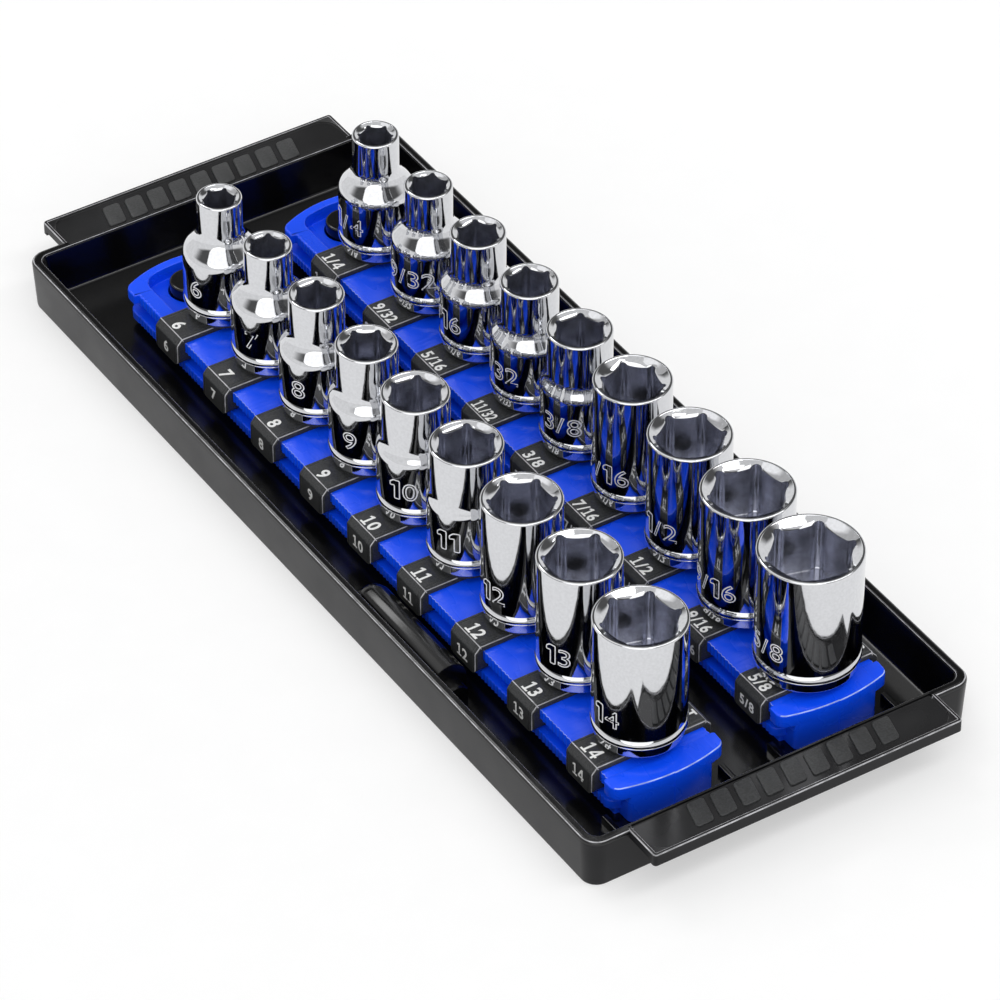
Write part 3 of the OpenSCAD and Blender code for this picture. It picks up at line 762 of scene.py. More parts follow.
    @staticmethod
    def hump(body, wall):
        """The half barrel on the side wall: an arch, straight sides and a half circle on
        top, carried along Y and shrunk towards its far end as sqrt(1 - t t). A lower step
        stands at its near end."""
        r, straight, sunk = 4.3, 4.3, 0.5
        near, far = -51.0, -20.0 - r / 2
        arch = np.concatenate([[[r, -sunk]], arc((0, straight), r, 0, 180, 20),
                               [[-r, -sunk]]])
        t = np.sin(np.radians(np.linspace(0, 88, 9)))
        stations = [(near, 0.93), (near + 0.12, 0.98), (near + 0.4, 1.0), (far, 1.0)]
        stations += [(far + r * s, math.sqrt(1 - s * s)) for s in t[1:]]
        rings = []
        for y, share in stations:
            section = arch * [share, 1]
            bent = straight + (section[:, 1] - straight) * share
            section[:, 1] = np.minimum(section[:, 1], bent)
            rings.append(np.stack([section[:, 0] - wall + r, np.full(len(section), y),
                                   section[:, 1] + TRAY_FLOOR], 1))
        body.tube(rings)
        step_l, step_r, step_rise = 3.0, 0.3, 0.7
        step = arch * 2 / 3
        step[:, 1] = np.where(arch[:, 1] > 0, arch[:, 1] / 2 + step_rise, -sunk)
        rings = [np.stack([step[:, 0] * share - wall + r, np.full(len(step), y),
                           step[:, 1] * share + TRAY_FLOOR], 1)
                 for y, share in ((near - step_l, 0.92), (near - step_l + step_r, 1.0),
                                  (near + 1.0, 1.0))]
        body.tube(rings)


class SOCKETTRAY_OT_grip_bars(Operator):
    """Raise plain grip bars on the sunken panels of the end tabs"""

    bl_idname = "socket_tray.grip_bars"
    bl_label = "Grip bars"

    def execute(self, context):
        height = context.scene.tray_look_sizes.bar_height / MM
        _, high = box_mm("tray")
        panel_z = high[2] - PANEL_DIP
        half_w, half_l, corner_r, edge_r, root = 2.1, 3.4, 0.8, 0.18, 0.2
        row_half, count, from_edge, slant = 22.4, 9, 6.1, 0.25
        bar = rounded_box_outline(half_w, half_l, corner_r, 4)
        bar = bar @ np.array([[1.0, 0.0], [slant, 1.0]])
        bars = Shell()
        for end in (-1, 1):
            for x in np.linspace(-row_half, row_half, count):
                bars.slab((bar + [x, high[1] - from_edge]) * end, panel_z - root,
                          panel_z + height, edge_r)
        piece = bars.build("tab_grip_bars", [FINISHES["blasted"]], 45)
        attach(piece, "tray_body")
        return {"FINISHED"}


class SOCKETTRAY_OT_rails(Operator):
    """Mould the two rails with toothed edges, end stops and the recess for the lock"""

    bl_idname = "socket_tray.rails"
    bl_label = "Rails"

    def execute(self, context):
        sizes = context.scene.rail_look_sizes
        teeth = sizes.tooth_pitch / MM, sizes.tooth_depth / MM
        edge = sizes.edge_radius / MM
        for row in ROWS:
            name = f"rail_{ROW_WORDS[row]}"
            low, high = box_mm(name)
            x0 = (low[0] + high[0]) / 2
            near, far, base, top = low[1], high[1], low[2], high[2]
            split = far - HEAD_LENGTH
            body = Shell()
            self.middle(body, x0, near, split, base, top, teeth)
            self.near_stop(body, x0, near, top, base, edge)
            self.head(body, x0, far, split, base, top, edge, teeth)
            piece = body.build(f"{name}_moulding",
                               [FINISHES["polypropylene"], FINISHES["blue_edge"]], 35)
            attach(piece, f"{name}_body")
            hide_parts(name)
        return {"FINISHED"}

    def middle(self, body, x0, near, split, base, top, teeth):
        """The straight stretch from the near stop to the head: the toothed flange with
        a painted highlight on its upper edge, the low flange with a bowed front, the neck
        and the foot."""
        shift = np.array([x0, 0.0])
        flange_in, low_in, neck_in, foot_in = 5.8, 6.9, 2.2, 5.2
        front_in, front_bow, front_r, top_r, low_r, under_r = 3.0, 2.2, 1.6, 0.16, 0.2, 0.15
        neck_overlap, foot_overlap, plate_r = 0.3, 0.2, 0.5
        low_z, neck_z, flange_z = (base + level for level in RAIL_LEVELS)
        side = self.toothed(FLANGE_HALF, near + flange_in, split, *teeth)
        # The third band, in the upper edge's rounding, carries the painted highlight
        body.slab(np.concatenate([side, side[::-1] * [-1, 1]]) + shift, flange_z, top,
                  top_r, steps=3, slot=[0, 0, 1, 0])
        side = self.toothed(LOW_HALF, near + low_in, split, *teeth)
        front = self.bowed_end(2 * LOW_HALF, -near - front_in, front_bow, front_r)
        front = front[::-1] * [1, -1]
        body.slab(np.concatenate([side, side[::-1] * [-1, 1], front]) + shift, low_z,
                  neck_z, low_r, under_r)
        for half, start, low_end, high_end in (
                (NECK_HALF, near + neck_in, base, flange_z + neck_overlap),
                (FOOT_HALF, near + foot_in, base, low_z + foot_overlap)):
            plate = [(-half, start), (half, start), (half, split), (-half, split)]
            body.slab(rounded_path(plate, plate_r) + shift, low_end, high_end)

    @staticmethod
    def notched(half, y, pitch, depth):
        """A toothed edge's distance from the middle: half - depth (0.5 + 0.5 cos(2 pi y /
        pitch)), sharpened to the power of 0.7."""
        return half - depth * (0.5 + 0.5 * np.cos(2 * math.pi * y / pitch)) ** 0.7

    def toothed(self, half, y0, y1, pitch, depth):
        """The +X side of a flange, with eight points to a tooth."""
        y = np.linspace(y0, y1, int((y1 - y0) / pitch * 8))
        return np.stack([self.notched(half, y, pitch, depth), y], 1)

    @staticmethod
    def bowed_end(width, tip, bow, radius, count=49):
        """A bowed end from +X to -X: y = tip - bow (2 x / width)^2 - corner drop, where
        the drop is r - sqrt(r r - d d) and d is the way into the corner."""
        x = width / 2 * np.sin(np.radians(np.linspace(90, -90, count)))
        into = np.maximum(0, np.abs(x) - width / 2 + radius)
        drop = radius - np.sqrt(np.maximum(radius ** 2 - into ** 2, 0))
        return np.stack([x, tip - bow * (2 * x / width) ** 2 - drop], 1)

    def near_stop(self, body, x0, near, top, base, edge):
        """The near stop and the block under it, with one bowed front. The front has a
        little step in the middle, where the two halves of the tool met. Its upper edge
        is round in front, where it carries a painted highlight, and nearly sharp behind."""
        shift = np.array([x0, 0.0])
        stop_half, stop_l, stop_h, back_r, low_r = 13.3, 6.0, 3.2, 0.6, 0.25
        block_half, block_r, bow, bow_r = 10.0, 0.8, 2.2, 1.6
        step, seam_half, foot_r, overlap = 0.12, 0.03, 0.3, 0.3

        def front(half, bow, radius):
            points = self.bowed_end(2 * half, -near, bow, radius)[::-1] * [1, -1]
            left, right = (points[points[:, 0] * side > 0.01] for side in (-1, 1))
            seam = [[-seam_half, near + step], [seam_half, near]]
            return np.concatenate([left + [0, step], seam, right])

        bowed = front(stop_half, bow, bow_r)
        back = near + stop_l - back_r
        stop = np.concatenate([bowed, arc((stop_half - back_r, back), back_r, 0, 90, 4),
                               arc((back_r - stop_half, back), back_r, 90, 180, 4)])
        shares = np.where(np.arange(len(stop)) < len(bowed), 1.0, 0.05)
        shares[[len(bowed), -1]] = 0.5
        # Two bands of the front's upper rounding carry the painted highlight
        faces = np.zeros((11, len(stop)), int)
        faces[8:10, 4:len(bowed) - 4] = 1
        body.slab(stop + shift, top - stop_h, top, edge, low_r, steps=5, slot=faces,
                  shares=shares)
        block = np.concatenate([
            front(block_half, bow * (block_half / stop_half) ** 2, block_r),
            [[block_half, near + stop_l], [-block_half, near + stop_l]]])
        body.slab(block + shift, base, top - stop_h + overlap, 0.0, foot_r)

    def head(self, body, x0, far, split, base, top, edge, teeth):
        """The far end round the lock: rings from the outside over the top, down into the
        recess and the hole, and back underneath. Each ring has as many points as the
        others, taken at even angles round the hole."""
        count, fine = 720, 40
        stop_l, stop_bow, stop_r, clear = 7.5, 3.6, 1.6, 0.1
        low_back, neck_back, neck_bow, neck_r = 0.3, 0.6, 1.9, 1.0
        border, recess_half, recess_depth, recess_r, recess_l = 2.2, 8.8, 3.2, 2.8, 18.7
        hole_r, hole_in, bottom_r, lip_r = 4.6, 8.1, 0.15, 0.25
        low_z, neck_z, flange_z = (base + level for level in RAIL_LEVELS)
        deep = top - recess_depth
        centre = np.array([0.0, far - hole_in])
        turn = np.linspace(0, 2 * math.pi, count, endpoint=False)
        rays = np.stack([np.cos(turn), np.sin(turn)], 1)

        def reach(outline):
            """Where each ray from the hole's axis meets an outline, found by
            interpolating the distance over the angle of a finely divided outline."""
            t = np.linspace(0, 1, fine, endpoint=False)[None, :, None]
            ahead = np.roll(outline, -1, 0)
            outline = (outline[:, None] * (1 - t) + ahead[:, None] * t).reshape(-1, 2)
            away = outline - centre
            angle = np.arctan2(away[:, 1], away[:, 0])
            order = np.argsort(angle)
            radius = np.linalg.norm(away, axis=1)
            got = np.interp(turn, angle[order], radius[order], period=2 * math.pi)
            return rays * got[:, None] + centre

        def body_outline(half, tip, bow, radius, toothed_half=None):
            end = self.bowed_end(2 * half, tip, bow, radius, 97)
            y = np.linspace(split, end[0, 1], 400)[:-1]
            x = np.full(len(y), half)
            if toothed_half is not None:
                x = np.where(y < far - stop_l + clear,
                             self.notched(toothed_half, y, *teeth), half)
            right = np.stack([x, y], 1)
            left = right[::-1] * [-1, 1]
            base_line = np.stack([np.linspace(-x[0], x[0], 60)[1:-1], np.full(58, split)], 1)
            return reach(np.concatenate([right, end, left, base_line]))

        flange = body_outline(STOP_HALF, far, stop_bow, stop_r, FLANGE_HALF)
        low = body_outline(LOW_HALF, far - low_back, stop_bow, stop_r, LOW_HALF)
        neck = body_outline(NECK_HALF, far - neck_back, neck_bow, neck_r)
        bow = stop_bow * (recess_half / STOP_HALF) ** 2
        recess_far = self.bowed_end(2 * recess_half, far - border, bow, recess_r, 61)
        near_y = far - recess_l
        sides = [(-recess_half, recess_far[-1, 1] - 0.5), (-recess_half, near_y),
                 (recess_half, near_y), (recess_half, recess_far[0, 1] - 0.5)]
        recess = reach(np.concatenate([recess_far, rounded_path(sides, 0.6, 6)[7:-7]]))
        circle = rays * hole_r + centre

        def level(outline, move_in, z):
            points = at_height(inset(outline, move_in), z)
            points[:, 1] = np.where(outline[:, 1] <= split + 0.3, outline[:, 1],
                                    points[:, 1])
            points[:, 0] += x0
            return points

        rings = [level(circle, 0, base), level(neck, 0, base), level(neck, 0, low_z),
                 level(low, bottom_r, low_z), level(low, 0.0, low_z + bottom_r),
                 level(low, 0.0, neck_z - 0.2), level(low, 0.2, neck_z),
                 level(neck, 0.0, neck_z), level(neck, 0.0, flange_z),
                 level(flange, 0.2, flange_z), level(flange, 0.0, flange_z + 0.2)]
        rings += [level(flange, into, top - down) for into, down in quarter(edge, 6)]
        rings += [level(flange, edge + 0.05, top), level(recess, -lip_r - 0.05, top)]
        rings += [level(recess, -out, top - down) for down, out in quarter(lip_r, 5)]
        rings += [level(recess, into, z) for into, z in (
            (0.0, top - 0.3), (0.0, deep + 0.4), (0.0, deep + 0.35), (0.1, deep + 0.1),
            (0.35, deep), (0.4, deep))]
        rings += [level(circle, into, z) for into, z in (
            (-0.25, deep), (-0.2, deep), (-0.05, deep - 0.05), (0.0, deep - 0.2))]
        body.ring(rings)


class SOCKETTRAY_OT_rail_locks(Operator):
    """Turn the lock buttons that stand in the rails' holes"""

    bl_idname = "socket_tray.rail_locks"
    bl_label = "Rail locks"

    def execute(self, context):
        stem_r, button_h, edge_r, low_r, middle_r = 3.25, 3.5, 0.6, 0.15, 0.05
        for row in ROWS:
            name = f"rail_lock_{ROW_WORDS[row]}"
            low, high = box_mm(name)
            x, y = (low[:2] + high[:2]) / 2
            r = (high[0] - low[0]) / 2
            base, top = low[2], high[2]
            under = top - button_h
            profile = held(np.concatenate([
                [[stem_r, base], [stem_r, under], [r - low_r, under]],
                rounded_path([(r, under + low_r), (r, top), (middle_r, top)], edge_r, 8,
                             closed=False)]))
            body = Shell()
            body.tube(turned(profile, x, y, 96))
            piece = body.build(f"{name}_button", [FINISHES["abs"]], 50)
            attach(piece, "tray_body")
            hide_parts(name)
        return {"FINISHED"}


def turned(profile, x, y, count):
    """A profile of radius and height turned about an upright axis at x, y."""
    turn = np.linspace(0, 2 * math.pi, count, endpoint=False)
    profile = np.asarray(profile, float)
    rings = np.empty((len(profile), count, 3))
    rings[:, :, 0] = x + profile[:, :1] * np.cos(turn)
    rings[:, :, 1] = y + profile[:, :1] * np.sin(turn)
    rings[:, :, 2] = profile[:, 1:]
    return rings


class SOCKETTRAY_OT_clips(Operator):
    """Mould the clips that slide on the rails"""

    bl_idname = "socket_tray.clips"
    bl_label = "Clips"

    def execute(self, context):
        for row in ROWS:
            rail_low, rail_high = box_mm(f"rail_{ROW_WORDS[row]}")
            under = rail_low[2] + RAIL_LEVELS[2] - CLIP_PLAY
            channel = under, rail_high[2] + CLIP_PLAY
            for tag, _ in NUMBERS[row]:
                name = f"clip_{row}_{tag}"
                low, high = box_mm(name)
                piece = self.clip(name, low, high, *channel)
                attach(piece, f"{name}_body")
                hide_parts(name)
        return {"FINISHED"}

    @staticmethod
    def clip(name, low, high, under, over):
        """A saddle: its section across the rail is carried along Y. Towards each end the
        outside draws in to a round bead with a fine groove beside it, and the lower
        corners rise by r - sqrt(r r - d d). The edges of its top and one band near each
        end carry a painted highlight."""
        bevel_h, bevel_w, end_r, crown = 1.5, 1.35, 1.6, 3.0
        x0, y0 = (low[:2] + high[:2]) / 2
        half_w, half_l = (high[:2] - low[:2]) / 2
        z0, z1 = low[2], high[2]
        flat_w = half_w - bevel_w
        outside = held(rounded_path(
            [(-half_w, z0), (-half_w, z1 - bevel_h), (-flat_w, z1), (flat_w, z1),
             (half_w, z1 - bevel_h), (half_w, z0)], [0.01, 0.4, 0.2, 0.2, 0.4, 0.01], 5,
            False))
        lips, wide = NECK_HALF + CLIP_PLAY, FLANGE_HALF + CLIP_PLAY
        right = np.array([(lips, z0), (lips, under), (wide, under), (wide, over)])
        hollow = np.concatenate([right, right[::-1] * [-1, 1]])
        # How far the outside is drawn in, at each distance from the clip's end
        steps = [(0.0, 0.66), (0.03, 0.54), (0.1, 0.4), (0.2, 0.26), (0.35, 0.12),
                 (0.5, 0.04), (0.65, 0.0), (0.95, 0.0), (1.04, 0.03), (1.12, 0.08),
                 (1.2, 0.03), (1.28, 0.0), (end_r, 0.0)]
        plain = half_l - end_r
        stations = [(d - half_l, s) for d, s in steps]
        stations += [(y, 0.0) for y in np.linspace(-plain, plain, 4)[1:-1]]
        stations += [(half_l - d, s) for d, s in steps[::-1]]
        rings = []
        for y, draw in stations:
            shape = outside.copy()
            reach = np.clip(np.abs(shape[:, 0]) / half_w, 0, 1) ** 8
            shape[:, 0] -= np.sign(shape[:, 0]) * draw * reach
            shape[:, 1] -= draw * np.clip((shape[:, 1] - z1 + crown) / crown, 0, 1)
            ring = np.concatenate([shape, hollow])
            into = max(0.0, abs(y) - plain)
            rise = end_r - math.sqrt(max(end_r ** 2 - into ** 2, 0))
            ring[:, 1] = np.maximum(ring[:, 1], z0 + rise)
            rings.append(np.stack([ring[:, 0] + x0, np.full(len(ring), y + y0),
                                   ring[:, 1]], 1))
        # Painted highlight: the faces along the top's two edges and one band near each end
        middle_of = (outside[:-1] + outside[1:]) / 2
        away = np.abs(np.abs(middle_of) - [flat_w, z1]).max(1)
        faces = np.zeros((len(rings) - 1, len(outside) + len(hollow)), int)
        faces[1:-1, :len(away)] = away < 0.1
        faces[[3, -4], :len(away)] = 1
        body = Shell()
        body.tube(rings, faces)
        return body.build(f"{name}_moulding", [FINISHES["nylon"], FINISHES["edge"]], 35)


# How far a figure's edge is moved out to make it bold, as a share of its height
BOLD = 0.035
# Height of the font's figures as a share of its size
FIGURE_SHARE = 0.73


def font_mesh(sign, fill, height):
    """One bold figure of Blender's own font as a mesh, in millimetres."""
    font = bpy.data.curves.new("figure", "FONT")
    font.body = sign
    font.size = height / FIGURE_SHARE * (1 - 2 * BOLD)
    font.offset = height * BOLD
    font.resolution_u = 6
    font.fill_mode = fill
    holder = bpy.data.objects.new("figure", font)
    bpy.context.scene.collection.objects.link(holder)
    graph = bpy.context.evaluated_depsgraph_get()
    mesh = bpy.data.meshes.new_from_object(holder.evaluated_get(graph))
    bpy.data.objects.remove(holder)
    bpy.data.curves.remove(font)
    return mesh


def mesh_points(mesh):
    """A mesh's points in the plane."""
    points = np.empty(len(mesh.vertices) * 3)
    mesh.vertices.foreach_get("co", points)
    return points.reshape(-1, 3)[:, :2]


def printed_figure(sign, height, stroke):
    """Points and faces of one bold figure that stands on the base line. The one is drawn
    here, with its flag and its foot, and so is the four, with its open middle."""
    if sign == "1":
        s, w = stroke, height * 0.56
        left = (w - s) / 2
        points = np.array([
            (0, 0), (w, 0), (w, s * 0.8), (left + s, s * 0.8), (left + s, height),
            (left + s * 0.25, height), (w * 0.04, height - s * 0.75),
            (w * 0.04, height - s * 1.6), (left, height - s * 1.25), (left, s * 0.8),
            (0, s * 0.8)])
        return points, [np.arange(len(points))[None]]
    if sign == "4":
        points = np.array([
            (0.39, 0.0), (0.56, 0.0), (0.56, 0.21), (0.39, 0.21), (0.0, 0.21), (0.67, 0.21),
            (0.67, 0.36), (0.0, 0.36), (0.39, 0.36), (0.56, 0.36), (0.56, 1.0), (0.39, 1.0),
            (0.0, 0.36), (0.17, 0.36), (0.39, 0.7), (0.39, 1.0)]) * height
        return points, [np.arange(4)[None] + k for k in (0, 4, 8, 12)]
    mesh = font_mesh(sign, "FRONT", height)
    points = mesh_points(mesh)
    faces = [np.array([list(p.vertices)]) for p in mesh.polygons]
    bpy.data.meshes.remove(mesh)
    return points - [points[:, 0].min(), -height * BOLD], faces


def flat_number(words, height, widest):
    """Points and faces of a printed number in the plane, centred, no wider than given."""
    stroke, gap = 0.17 * height, 0.1 * height
    pen, count, points, faces = 0.0, 0, [], []
    for sign in words:
        more, made = printed_figure(sign, height, stroke)
        points.append(more + [pen, 0])
        faces += [face + count for face in made]
        count += len(more)
        pen += np.ptp(more[:, 0]) + gap
    points = np.concatenate(points)
    points[:, 0] -= (points[:, 0].min() + points[:, 0].max()) / 2
    fit = min(1.0, widest / np.ptp(points[:, 0]))
    return (points - [0, height / 2]) * [fit, 1.0], faces


class SOCKETTRAY_OT_clip_numbers(Operator):
    """Print the white numbers on the tops and sides of the clips"""

    bl_idname = "socket_tray.clip_numbers"
    bl_label = "Clip numbers"

    def execute(self, context):
        sizes = context.scene.clip_look_sizes
        lift = sizes.ink_lift / MM
        inch_share, border, top_widest = 0.9, 1.8, 6.9
        side_share, side_widest, side_z = 0.92, 6.6, 9.0
        for row in ROWS:
            for tag, words in NUMBERS[row]:
                low, high = box_mm(f"clip_{row}_{tag}")
                centre = (low + high) / 2
                body = Shell()
                height = sizes.number_height / MM * (1.0 if row == "mm" else inch_share)
                across = high[0] - centre[0] - border - height / 2
                on_top = flat_number(words, height, top_widest)
                on_side = flat_number(words, height * side_share, side_widest)
                for side in (-1, 1):
                    points, faces = on_top
                    top = np.stack([centre[0] + side * across - side * points[:, 1],
                                    centre[1] + side * points[:, 0],
                                    np.full(len(points), high[2])], 1)
                    self.print_on(body, top, faces, (0, 0, 1), lift)
                    points, faces = on_side
                    edge = high[0] if side > 0 else low[0]
                    face = np.stack([np.full(len(points), edge),
                                     centre[1] + side * points[:, 0],
                                     side_z + points[:, 1]], 1)
                    self.print_on(body, face, faces, (side, 0, 0), lift)
                piece = body.build(f"clip_{row}_{tag}_print", [FINISHES["ink"]], 60)
                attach(piece, f"clip_{row}_{tag}_body")
        return {"FINISHED"}

    @staticmethod
    def print_on(body, points, faces, outward, lift):
        """A thin film: the figures' faces, lifted, over the same faces sunk."""
        outward = np.array(outward, float)
        both = np.concatenate([points + outward * lift, points - outward * lift])
        groups = []
        for face in faces:
            normal = np.cross(points[face[0, 1]] - points[face[0, 0]],
                              points[face[0, 2]] - points[face[0, 1]])
            if (normal * outward).sum() < 0:
                face = face[:, ::-1]
            groups += [face, face[:, ::-1] + len(points)]
        body.add(both, groups, 0, range(len(groups)))


class SOCKETTRAY_OT_posts(Operator):
    """Give the posts their moulded finish"""

    bl_idname = "socket_tray.posts"
    bl_label = "Posts"

    def execute(self, context):
        for row in ROWS:
            for tag, _ in NUMBERS[row]:
                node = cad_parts[f"post_{row}_{tag}"]
                node.data.materials.clear()
                node.data.materials.append(FINISHES["nylon"])
        return {"FINISHED"}


def socket_radii(size, share):
    """Radii of a socket: its hexagon's flats and corners, its nose and its body."""
    flat = (size + HEX_PLAY) / 2
    corner = flat / math.cos(math.radians(30))
    nose = corner + SOCKET_WALL * share
    return flat, corner, nose, max(SOCKET_BODY_R, nose)


class SOCKETTRAY_OT_sockets(Operator):
    """Turn the sockets, each with its hexagon, countersunk mouth and square hole"""

    bl_idname = "socket_tray.sockets"
    bl_label = "Sockets"

    def execute(self, context):
        for row in ROWS:
            for (tag, _), facts in zip(NUMBERS[row], SOCKETS[row]):
                name = f"socket_{row}_{tag}"
                low, high = box_mm(name)
                piece = self.socket(name, low, high, *facts[:3])
                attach(piece, f"{name}_body")
                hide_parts(name)
        return {"FINISHED"}

    @staticmethod
    def outside(nose, body, length):
        """Radius and height of the outside, from the foot up to the rim's inner edge: a
        foot that narrows upwards a little, a lip and a bulging ring above it, then body,
        shoulder, nose and round rim."""
        foot, foot_r, foot_top = body - 0.9, 0.3, 2.42
        lip_r, lip_z, ring_r, ring_z = 0.2, 2.75, 1.7, 3.2
        body_start, shoulder, slope, nose_end, rim_r = 5.6, 16.0, 0.8, 1.5, 0.42
        parts = [[[foot, 0.0]], arc((foot, foot_r), foot_r, -60, 0, 3),
                 [[foot, foot_top], [foot + 0.38, foot_top + 0.12]],
                 arc((body - lip_r / 2, lip_z), lip_r, -80, 60, 6), [[body - 0.14, 3.0]],
                 arc((body - 1.5, ring_z), ring_r, -4, 50, 12),
                 [[body - 0.44, 4.56], [body - 0.12, 4.68], [body, 4.82]]]
        step = body - nose
        if step > 0:
            rise = 1.2 + step * slope
            bend = min(rise / 3, step)
            parts.append(rounded_path(
                [(body, body_start), (body, shoulder), (nose, shoulder + rise),
                 (nose, length - nose_end)],
                [0.1, max(bend, 0.5), max(bend * 1.3, 0.6), 0.1], 12, False)[1:-1])
        parts.append(arc((nose - rim_r, length - rim_r), rim_r, 0, 90, 10))
        return held(np.concatenate([np.asarray(p, float) for p in parts]))

    def socket(self, name, low, high, size, share, turn_deg):
        """A grid that closes both ways. Each ring's radius may change with the angle:
        outside it is constant, in the hexagon it is flat / cos(a) widened by a small
        circle at each corner, and in the foot it is the square's."""
        per_side, gather, relief_share = 32, 1.6, 0.8
        drive_half, drive_depth, drive_lead, through_r = 4.8, 11.0, 0.3, 2.5
        hexagon_depth, mouth_in, mouth_r, slope = 13.0, 0.66, 0.05, 0.6
        x, y = (low[:2] + high[:2]) / 2
        base, length = low[2], high[2] - low[2]
        flat, corner, nose, body = socket_radii(size, share)
        s = np.linspace(-1, 1, per_side, endpoint=False)
        local = 30 * np.sign(s) * np.abs(s) ** gather
        angle = np.concatenate([local + 60 * k for k in range(6)])
        local = np.radians(np.tile(local, 6))
        hexagon = flat / np.cos(math.radians(30) - np.abs(local))
        relief = flat / 6
        out = corner - relief * relief_share
        under = relief ** 2 - (out * np.sin(local)) ** 2
        circle = out * np.cos(local) + np.sqrt(np.maximum(under, 0))
        hexagon = np.where(under > 0, np.maximum(hexagon, circle), hexagon)
        turn = np.radians(angle + turn_deg)
        square = drive_half / np.maximum(np.abs(np.cos(turn)), np.abs(np.sin(turn)))
        mouth = nose - mouth_in
        floor = length - hexagon_depth
        levels = [(square, 0.0, 0)]
        levels += [(r, z, 0) for r, z in self.outside(nose, body, length)]
        levels += [(mouth + mouth_r * (1 - math.sin(a)), length - mouth_r * (1 - math.cos(a)),
                    0) for a in np.radians([0, 14, 28, 42, 56])]
        drop = (mouth - hexagon) * slope
        edge = length - mouth_r * 0.55
        levels += [(mouth + (hexagon - mouth) * t, edge - drop * t, 0)
                   for t in (0.08, 0.5, 0.92)]
        levels += [(hexagon, edge - drop - 0.1, 1), (hexagon, edge - drop - 0.2, 1),
                   (hexagon, length - 6, 1), (hexagon, floor + 0.2, 1),
                   (hexagon - 0.2, floor, 1), (through_r, floor, 1),
                   (through_r, drive_depth, 1), (square, drive_depth, 1),
                   (square, drive_lead, 1)]
        rings = np.empty((len(levels), len(turn), 3))
        slots = np.array([slot for _, _, slot in levels])
        for k, (r, z, _) in enumerate(levels):
            rings[k, :, 0] = x + r * np.cos(turn)
            rings[k, :, 1] = y + r * np.sin(turn)
            rings[k, :, 2] = base + z
        shape = Shell()
        shape.ring(rings, slots)
        return shape.build(f"{name}_plated", [FINISHES["chrome"], FINISHES["broached"]], 32)


class SOCKETTRAY_OT_socket_numbers(Operator):
    """Stamp the outlined numbers on the sockets' bodies"""

    bl_idname = "socket_tray.socket_numbers"
    bl_label = "Socket numbers"

    def execute(self, context):
        sizes = context.scene.socket_look_sizes
        height = sizes.number_height / MM
        width = sizes.line_width / MM
        middle_z = 23.3
        for row in ROWS:
            for (tag, words), facts in zip(NUMBERS[row], SOCKETS[row]):
                name = f"socket_{row}_{tag}"
                low, high = box_mm(name)
                x, y = (low[:2] + high[:2]) / 2
                body_r = socket_radii(*facts[:2])[-1]
                body = Shell()
                for path in self.figures(words, height):
                    self.line(body, path, width, body_r, x, y, middle_z, facts[3])
                piece = body.build(f"{name}_number", [FINISHES["mark"]], 50)
                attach(piece, f"{name}_body")
        return {"FINISHED"}

    @staticmethod
    def figures(words, height):
        """Outlines of the figures as closed paths. Zero is the middle of the last one."""
        gap, stretch = 0.14 * height, 1.13
        pen, paths = 0.0, []
        for sign in words:
            if sign == "1":
                one = np.array([(0.0, 0.66), (0.0, 0.84), (0.16, 1.0), (0.42, 1.0),
                                (0.42, 0.0), (0.2, 0.0), (0.2, 0.72)]) * height
                outline = [rounded_path(one, 0.05 * height, 2)]
            else:
                outline = glyph_outlines(sign, height)
            low = min(path[:, 0].min() for path in outline)
            wide = max(path[:, 0].max() for path in outline) - low
            paths += [path + [pen - low, 0] for path in outline]
            middle = pen + wide / 2
            pen += wide + gap
        return [(path - [middle, height / 2]) * [stretch, 1.0] for path in paths]

    @staticmethod
    def line(body, path, width, radius, x, y, z, turn_deg):
        """A low ridge along a closed path on a cylinder: each point's sideways place
        becomes an angle, s / r, and the section is a low trapezoid."""
        along = np.roll(path, -1, 0) - np.roll(path, 1, 0)
        along /= np.maximum(np.linalg.norm(along, axis=1, keepdims=True), 1e-9)
        side = np.stack([-along[:, 1], along[:, 0]], 1) * width / 2
        sunk, raised, crest = -0.03, 0.05, 0.55
        rings = []
        for flat, lift in ((path - side, sunk), (path - side * crest, raised),
                           (path + side * crest, raised), (path + side, sunk)):
            turn = math.radians(turn_deg) + flat[:, 0] / radius
            rings.append(np.stack([x + (radius + lift) * np.cos(turn),
                                   y + (radius + lift) * np.sin(turn), z + flat[:, 1]], 1))
        body.ring(rings)


def glyph_outlines(sign, height):
    """The outlines of one bold figure as closed paths in millimetres."""
    mesh = font_mesh(sign, "NONE", height)
    points = mesh_points(mesh) + [0, height * BOLD]
    edges = np.empty(len(mesh.edges) * 2, int)
    mesh.edges.foreach_get("vertices", edges)
    bpy.data.meshes.remove(mesh)
    follow = {}
    for a, b in edges.reshape(-1, 2):
        follow.setdefault(int(a), []).append(int(b))
        follow.setdefault(int(b), []).append(int(a))
    paths, left = [], set(follow)
    while left:
        start = here = min(left)
        before, order = None, []
        while here in left:
            left.discard(here)
            order.append(here)
            ahead = [k for k in follow[here] if k != before and k in left]
            before, here = here, (ahead[0] if ahead else start)
        paths.append(points[order])
    return paths


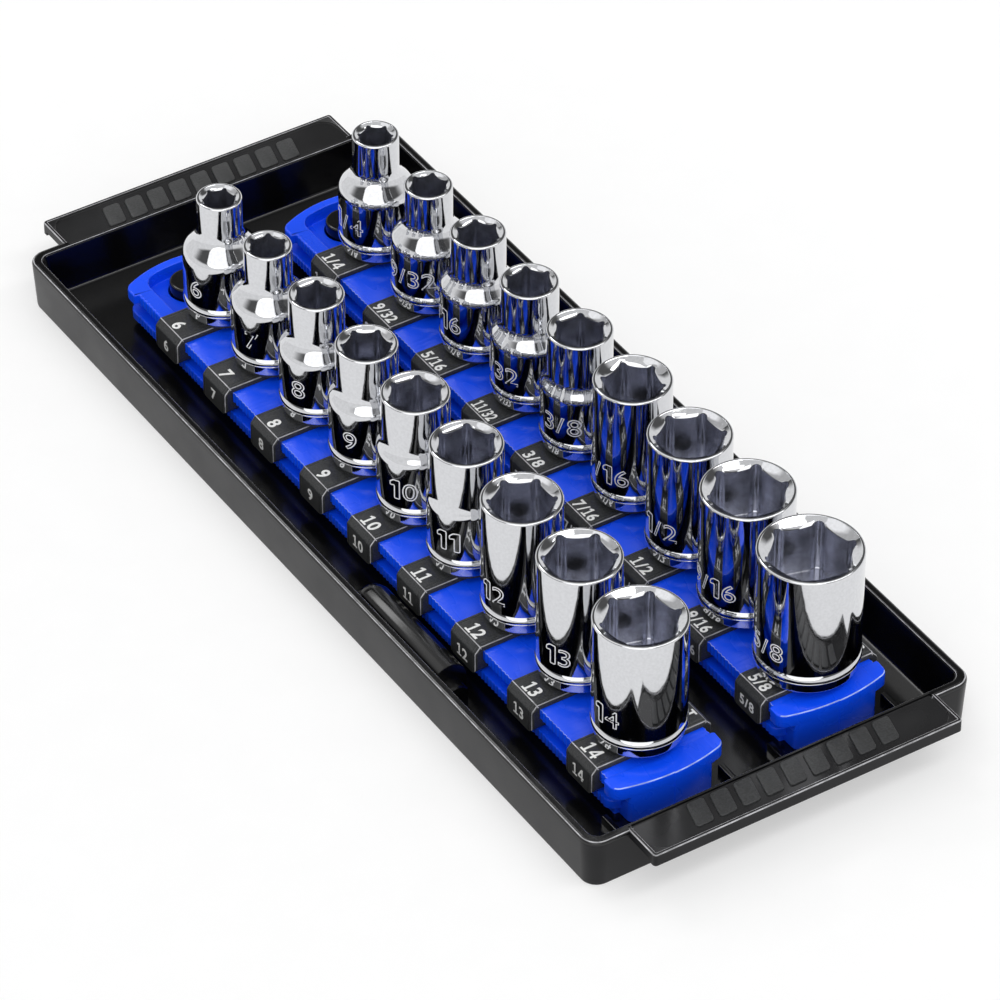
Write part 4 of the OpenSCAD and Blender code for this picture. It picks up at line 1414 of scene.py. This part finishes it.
OPERATORS = (SOCKETTRAY_OT_stage, SOCKETTRAY_OT_tray, SOCKETTRAY_OT_grip_bars,
             SOCKETTRAY_OT_rails, SOCKETTRAY_OT_rail_locks, SOCKETTRAY_OT_clips,
             SOCKETTRAY_OT_clip_numbers, SOCKETTRAY_OT_posts, SOCKETTRAY_OT_sockets,
             SOCKETTRAY_OT_socket_numbers)
GROUPS = {"tray_look_sizes": TrayLookSizes, "rail_look_sizes": RailLookSizes,
          "clip_look_sizes": ClipLookSizes, "socket_look_sizes": SocketLookSizes,
          "tray_finishes": TrayFinishes}


class SOCKETTRAY_PT_pieces(Panel):
    """Lists the sizes, the colours and the pieces"""

    bl_idname = "SOCKETTRAY_PT_pieces"
    bl_label = "Socket tray"
    bl_space_type = "VIEW_3D"
    bl_region_type = "UI"
    bl_category = "Socket tray"

    def draw(self, context):
        for name, group in GROUPS.items():
            column = self.layout.column(align=True)
            for prop in group.__annotations__:
                column.prop(getattr(context.scene, name), prop)
        for operator in OPERATORS:
            self.layout.operator(operator.bl_idname)


def register():
    """Registers the property groups, the operators and the panel."""
    for name, group in GROUPS.items():
        bpy.utils.register_class(group)
        setattr(bpy.types.Scene, name, PointerProperty(type=group))
    for operator in OPERATORS:
        bpy.utils.register_class(operator)
    bpy.utils.register_class(SOCKETTRAY_PT_pieces)


def unregister():
    """Takes them out again."""
    bpy.utils.unregister_class(SOCKETTRAY_PT_pieces)
    for operator in reversed(OPERATORS):
        bpy.utils.unregister_class(operator)
    for name, group in GROUPS.items():
        delattr(bpy.types.Scene, name)
        bpy.utils.unregister_class(group)


def main():
    """Makes the finishes, then every piece in turn."""
    register()
    colours = bpy.context.scene.tray_finishes
    FINISHES["abs"] = moulded_abs(colours.tray)
    FINISHES["dull_abs"] = dull_abs(colours.wall)
    # The tab tops: the tray's black ABS drawn dark grey, a painted sheen
    FINISHES["panel"] = moulded_abs(colours.panel)
    # Painted highlights along the edges of the black parts and of the rails
    FINISHES["edge"] = burnished_edge(colours.edge, "painted_abs_highlight")
    FINISHES["blue_edge"] = burnished_edge(colours.blue_edge, "painted_blue_highlight")
    FINISHES["blasted"] = sandblasted_abs(colours.grip)
    FINISHES["polypropylene"] = moulded_polypropylene(colours.rail)
    FINISHES["nylon"] = glass_filled_nylon(colours.clip)
    FINISHES["chrome"] = chrome_plate(colours.chrome)
    FINISHES["broached"] = broached_steel(colours.steel)
    # Painted highlight on the stamped outlines of the socket numbers
    FINISHES["mark"] = stamped_edge(colours.mark)
    FINISHES["ink"] = pad_print_ink(colours.ink)
    for operator in OPERATORS:
        group, name = operator.bl_idname.split(".")
        getattr(getattr(bpy.ops, group), name)()


if __name__ == "__main__":
    main()
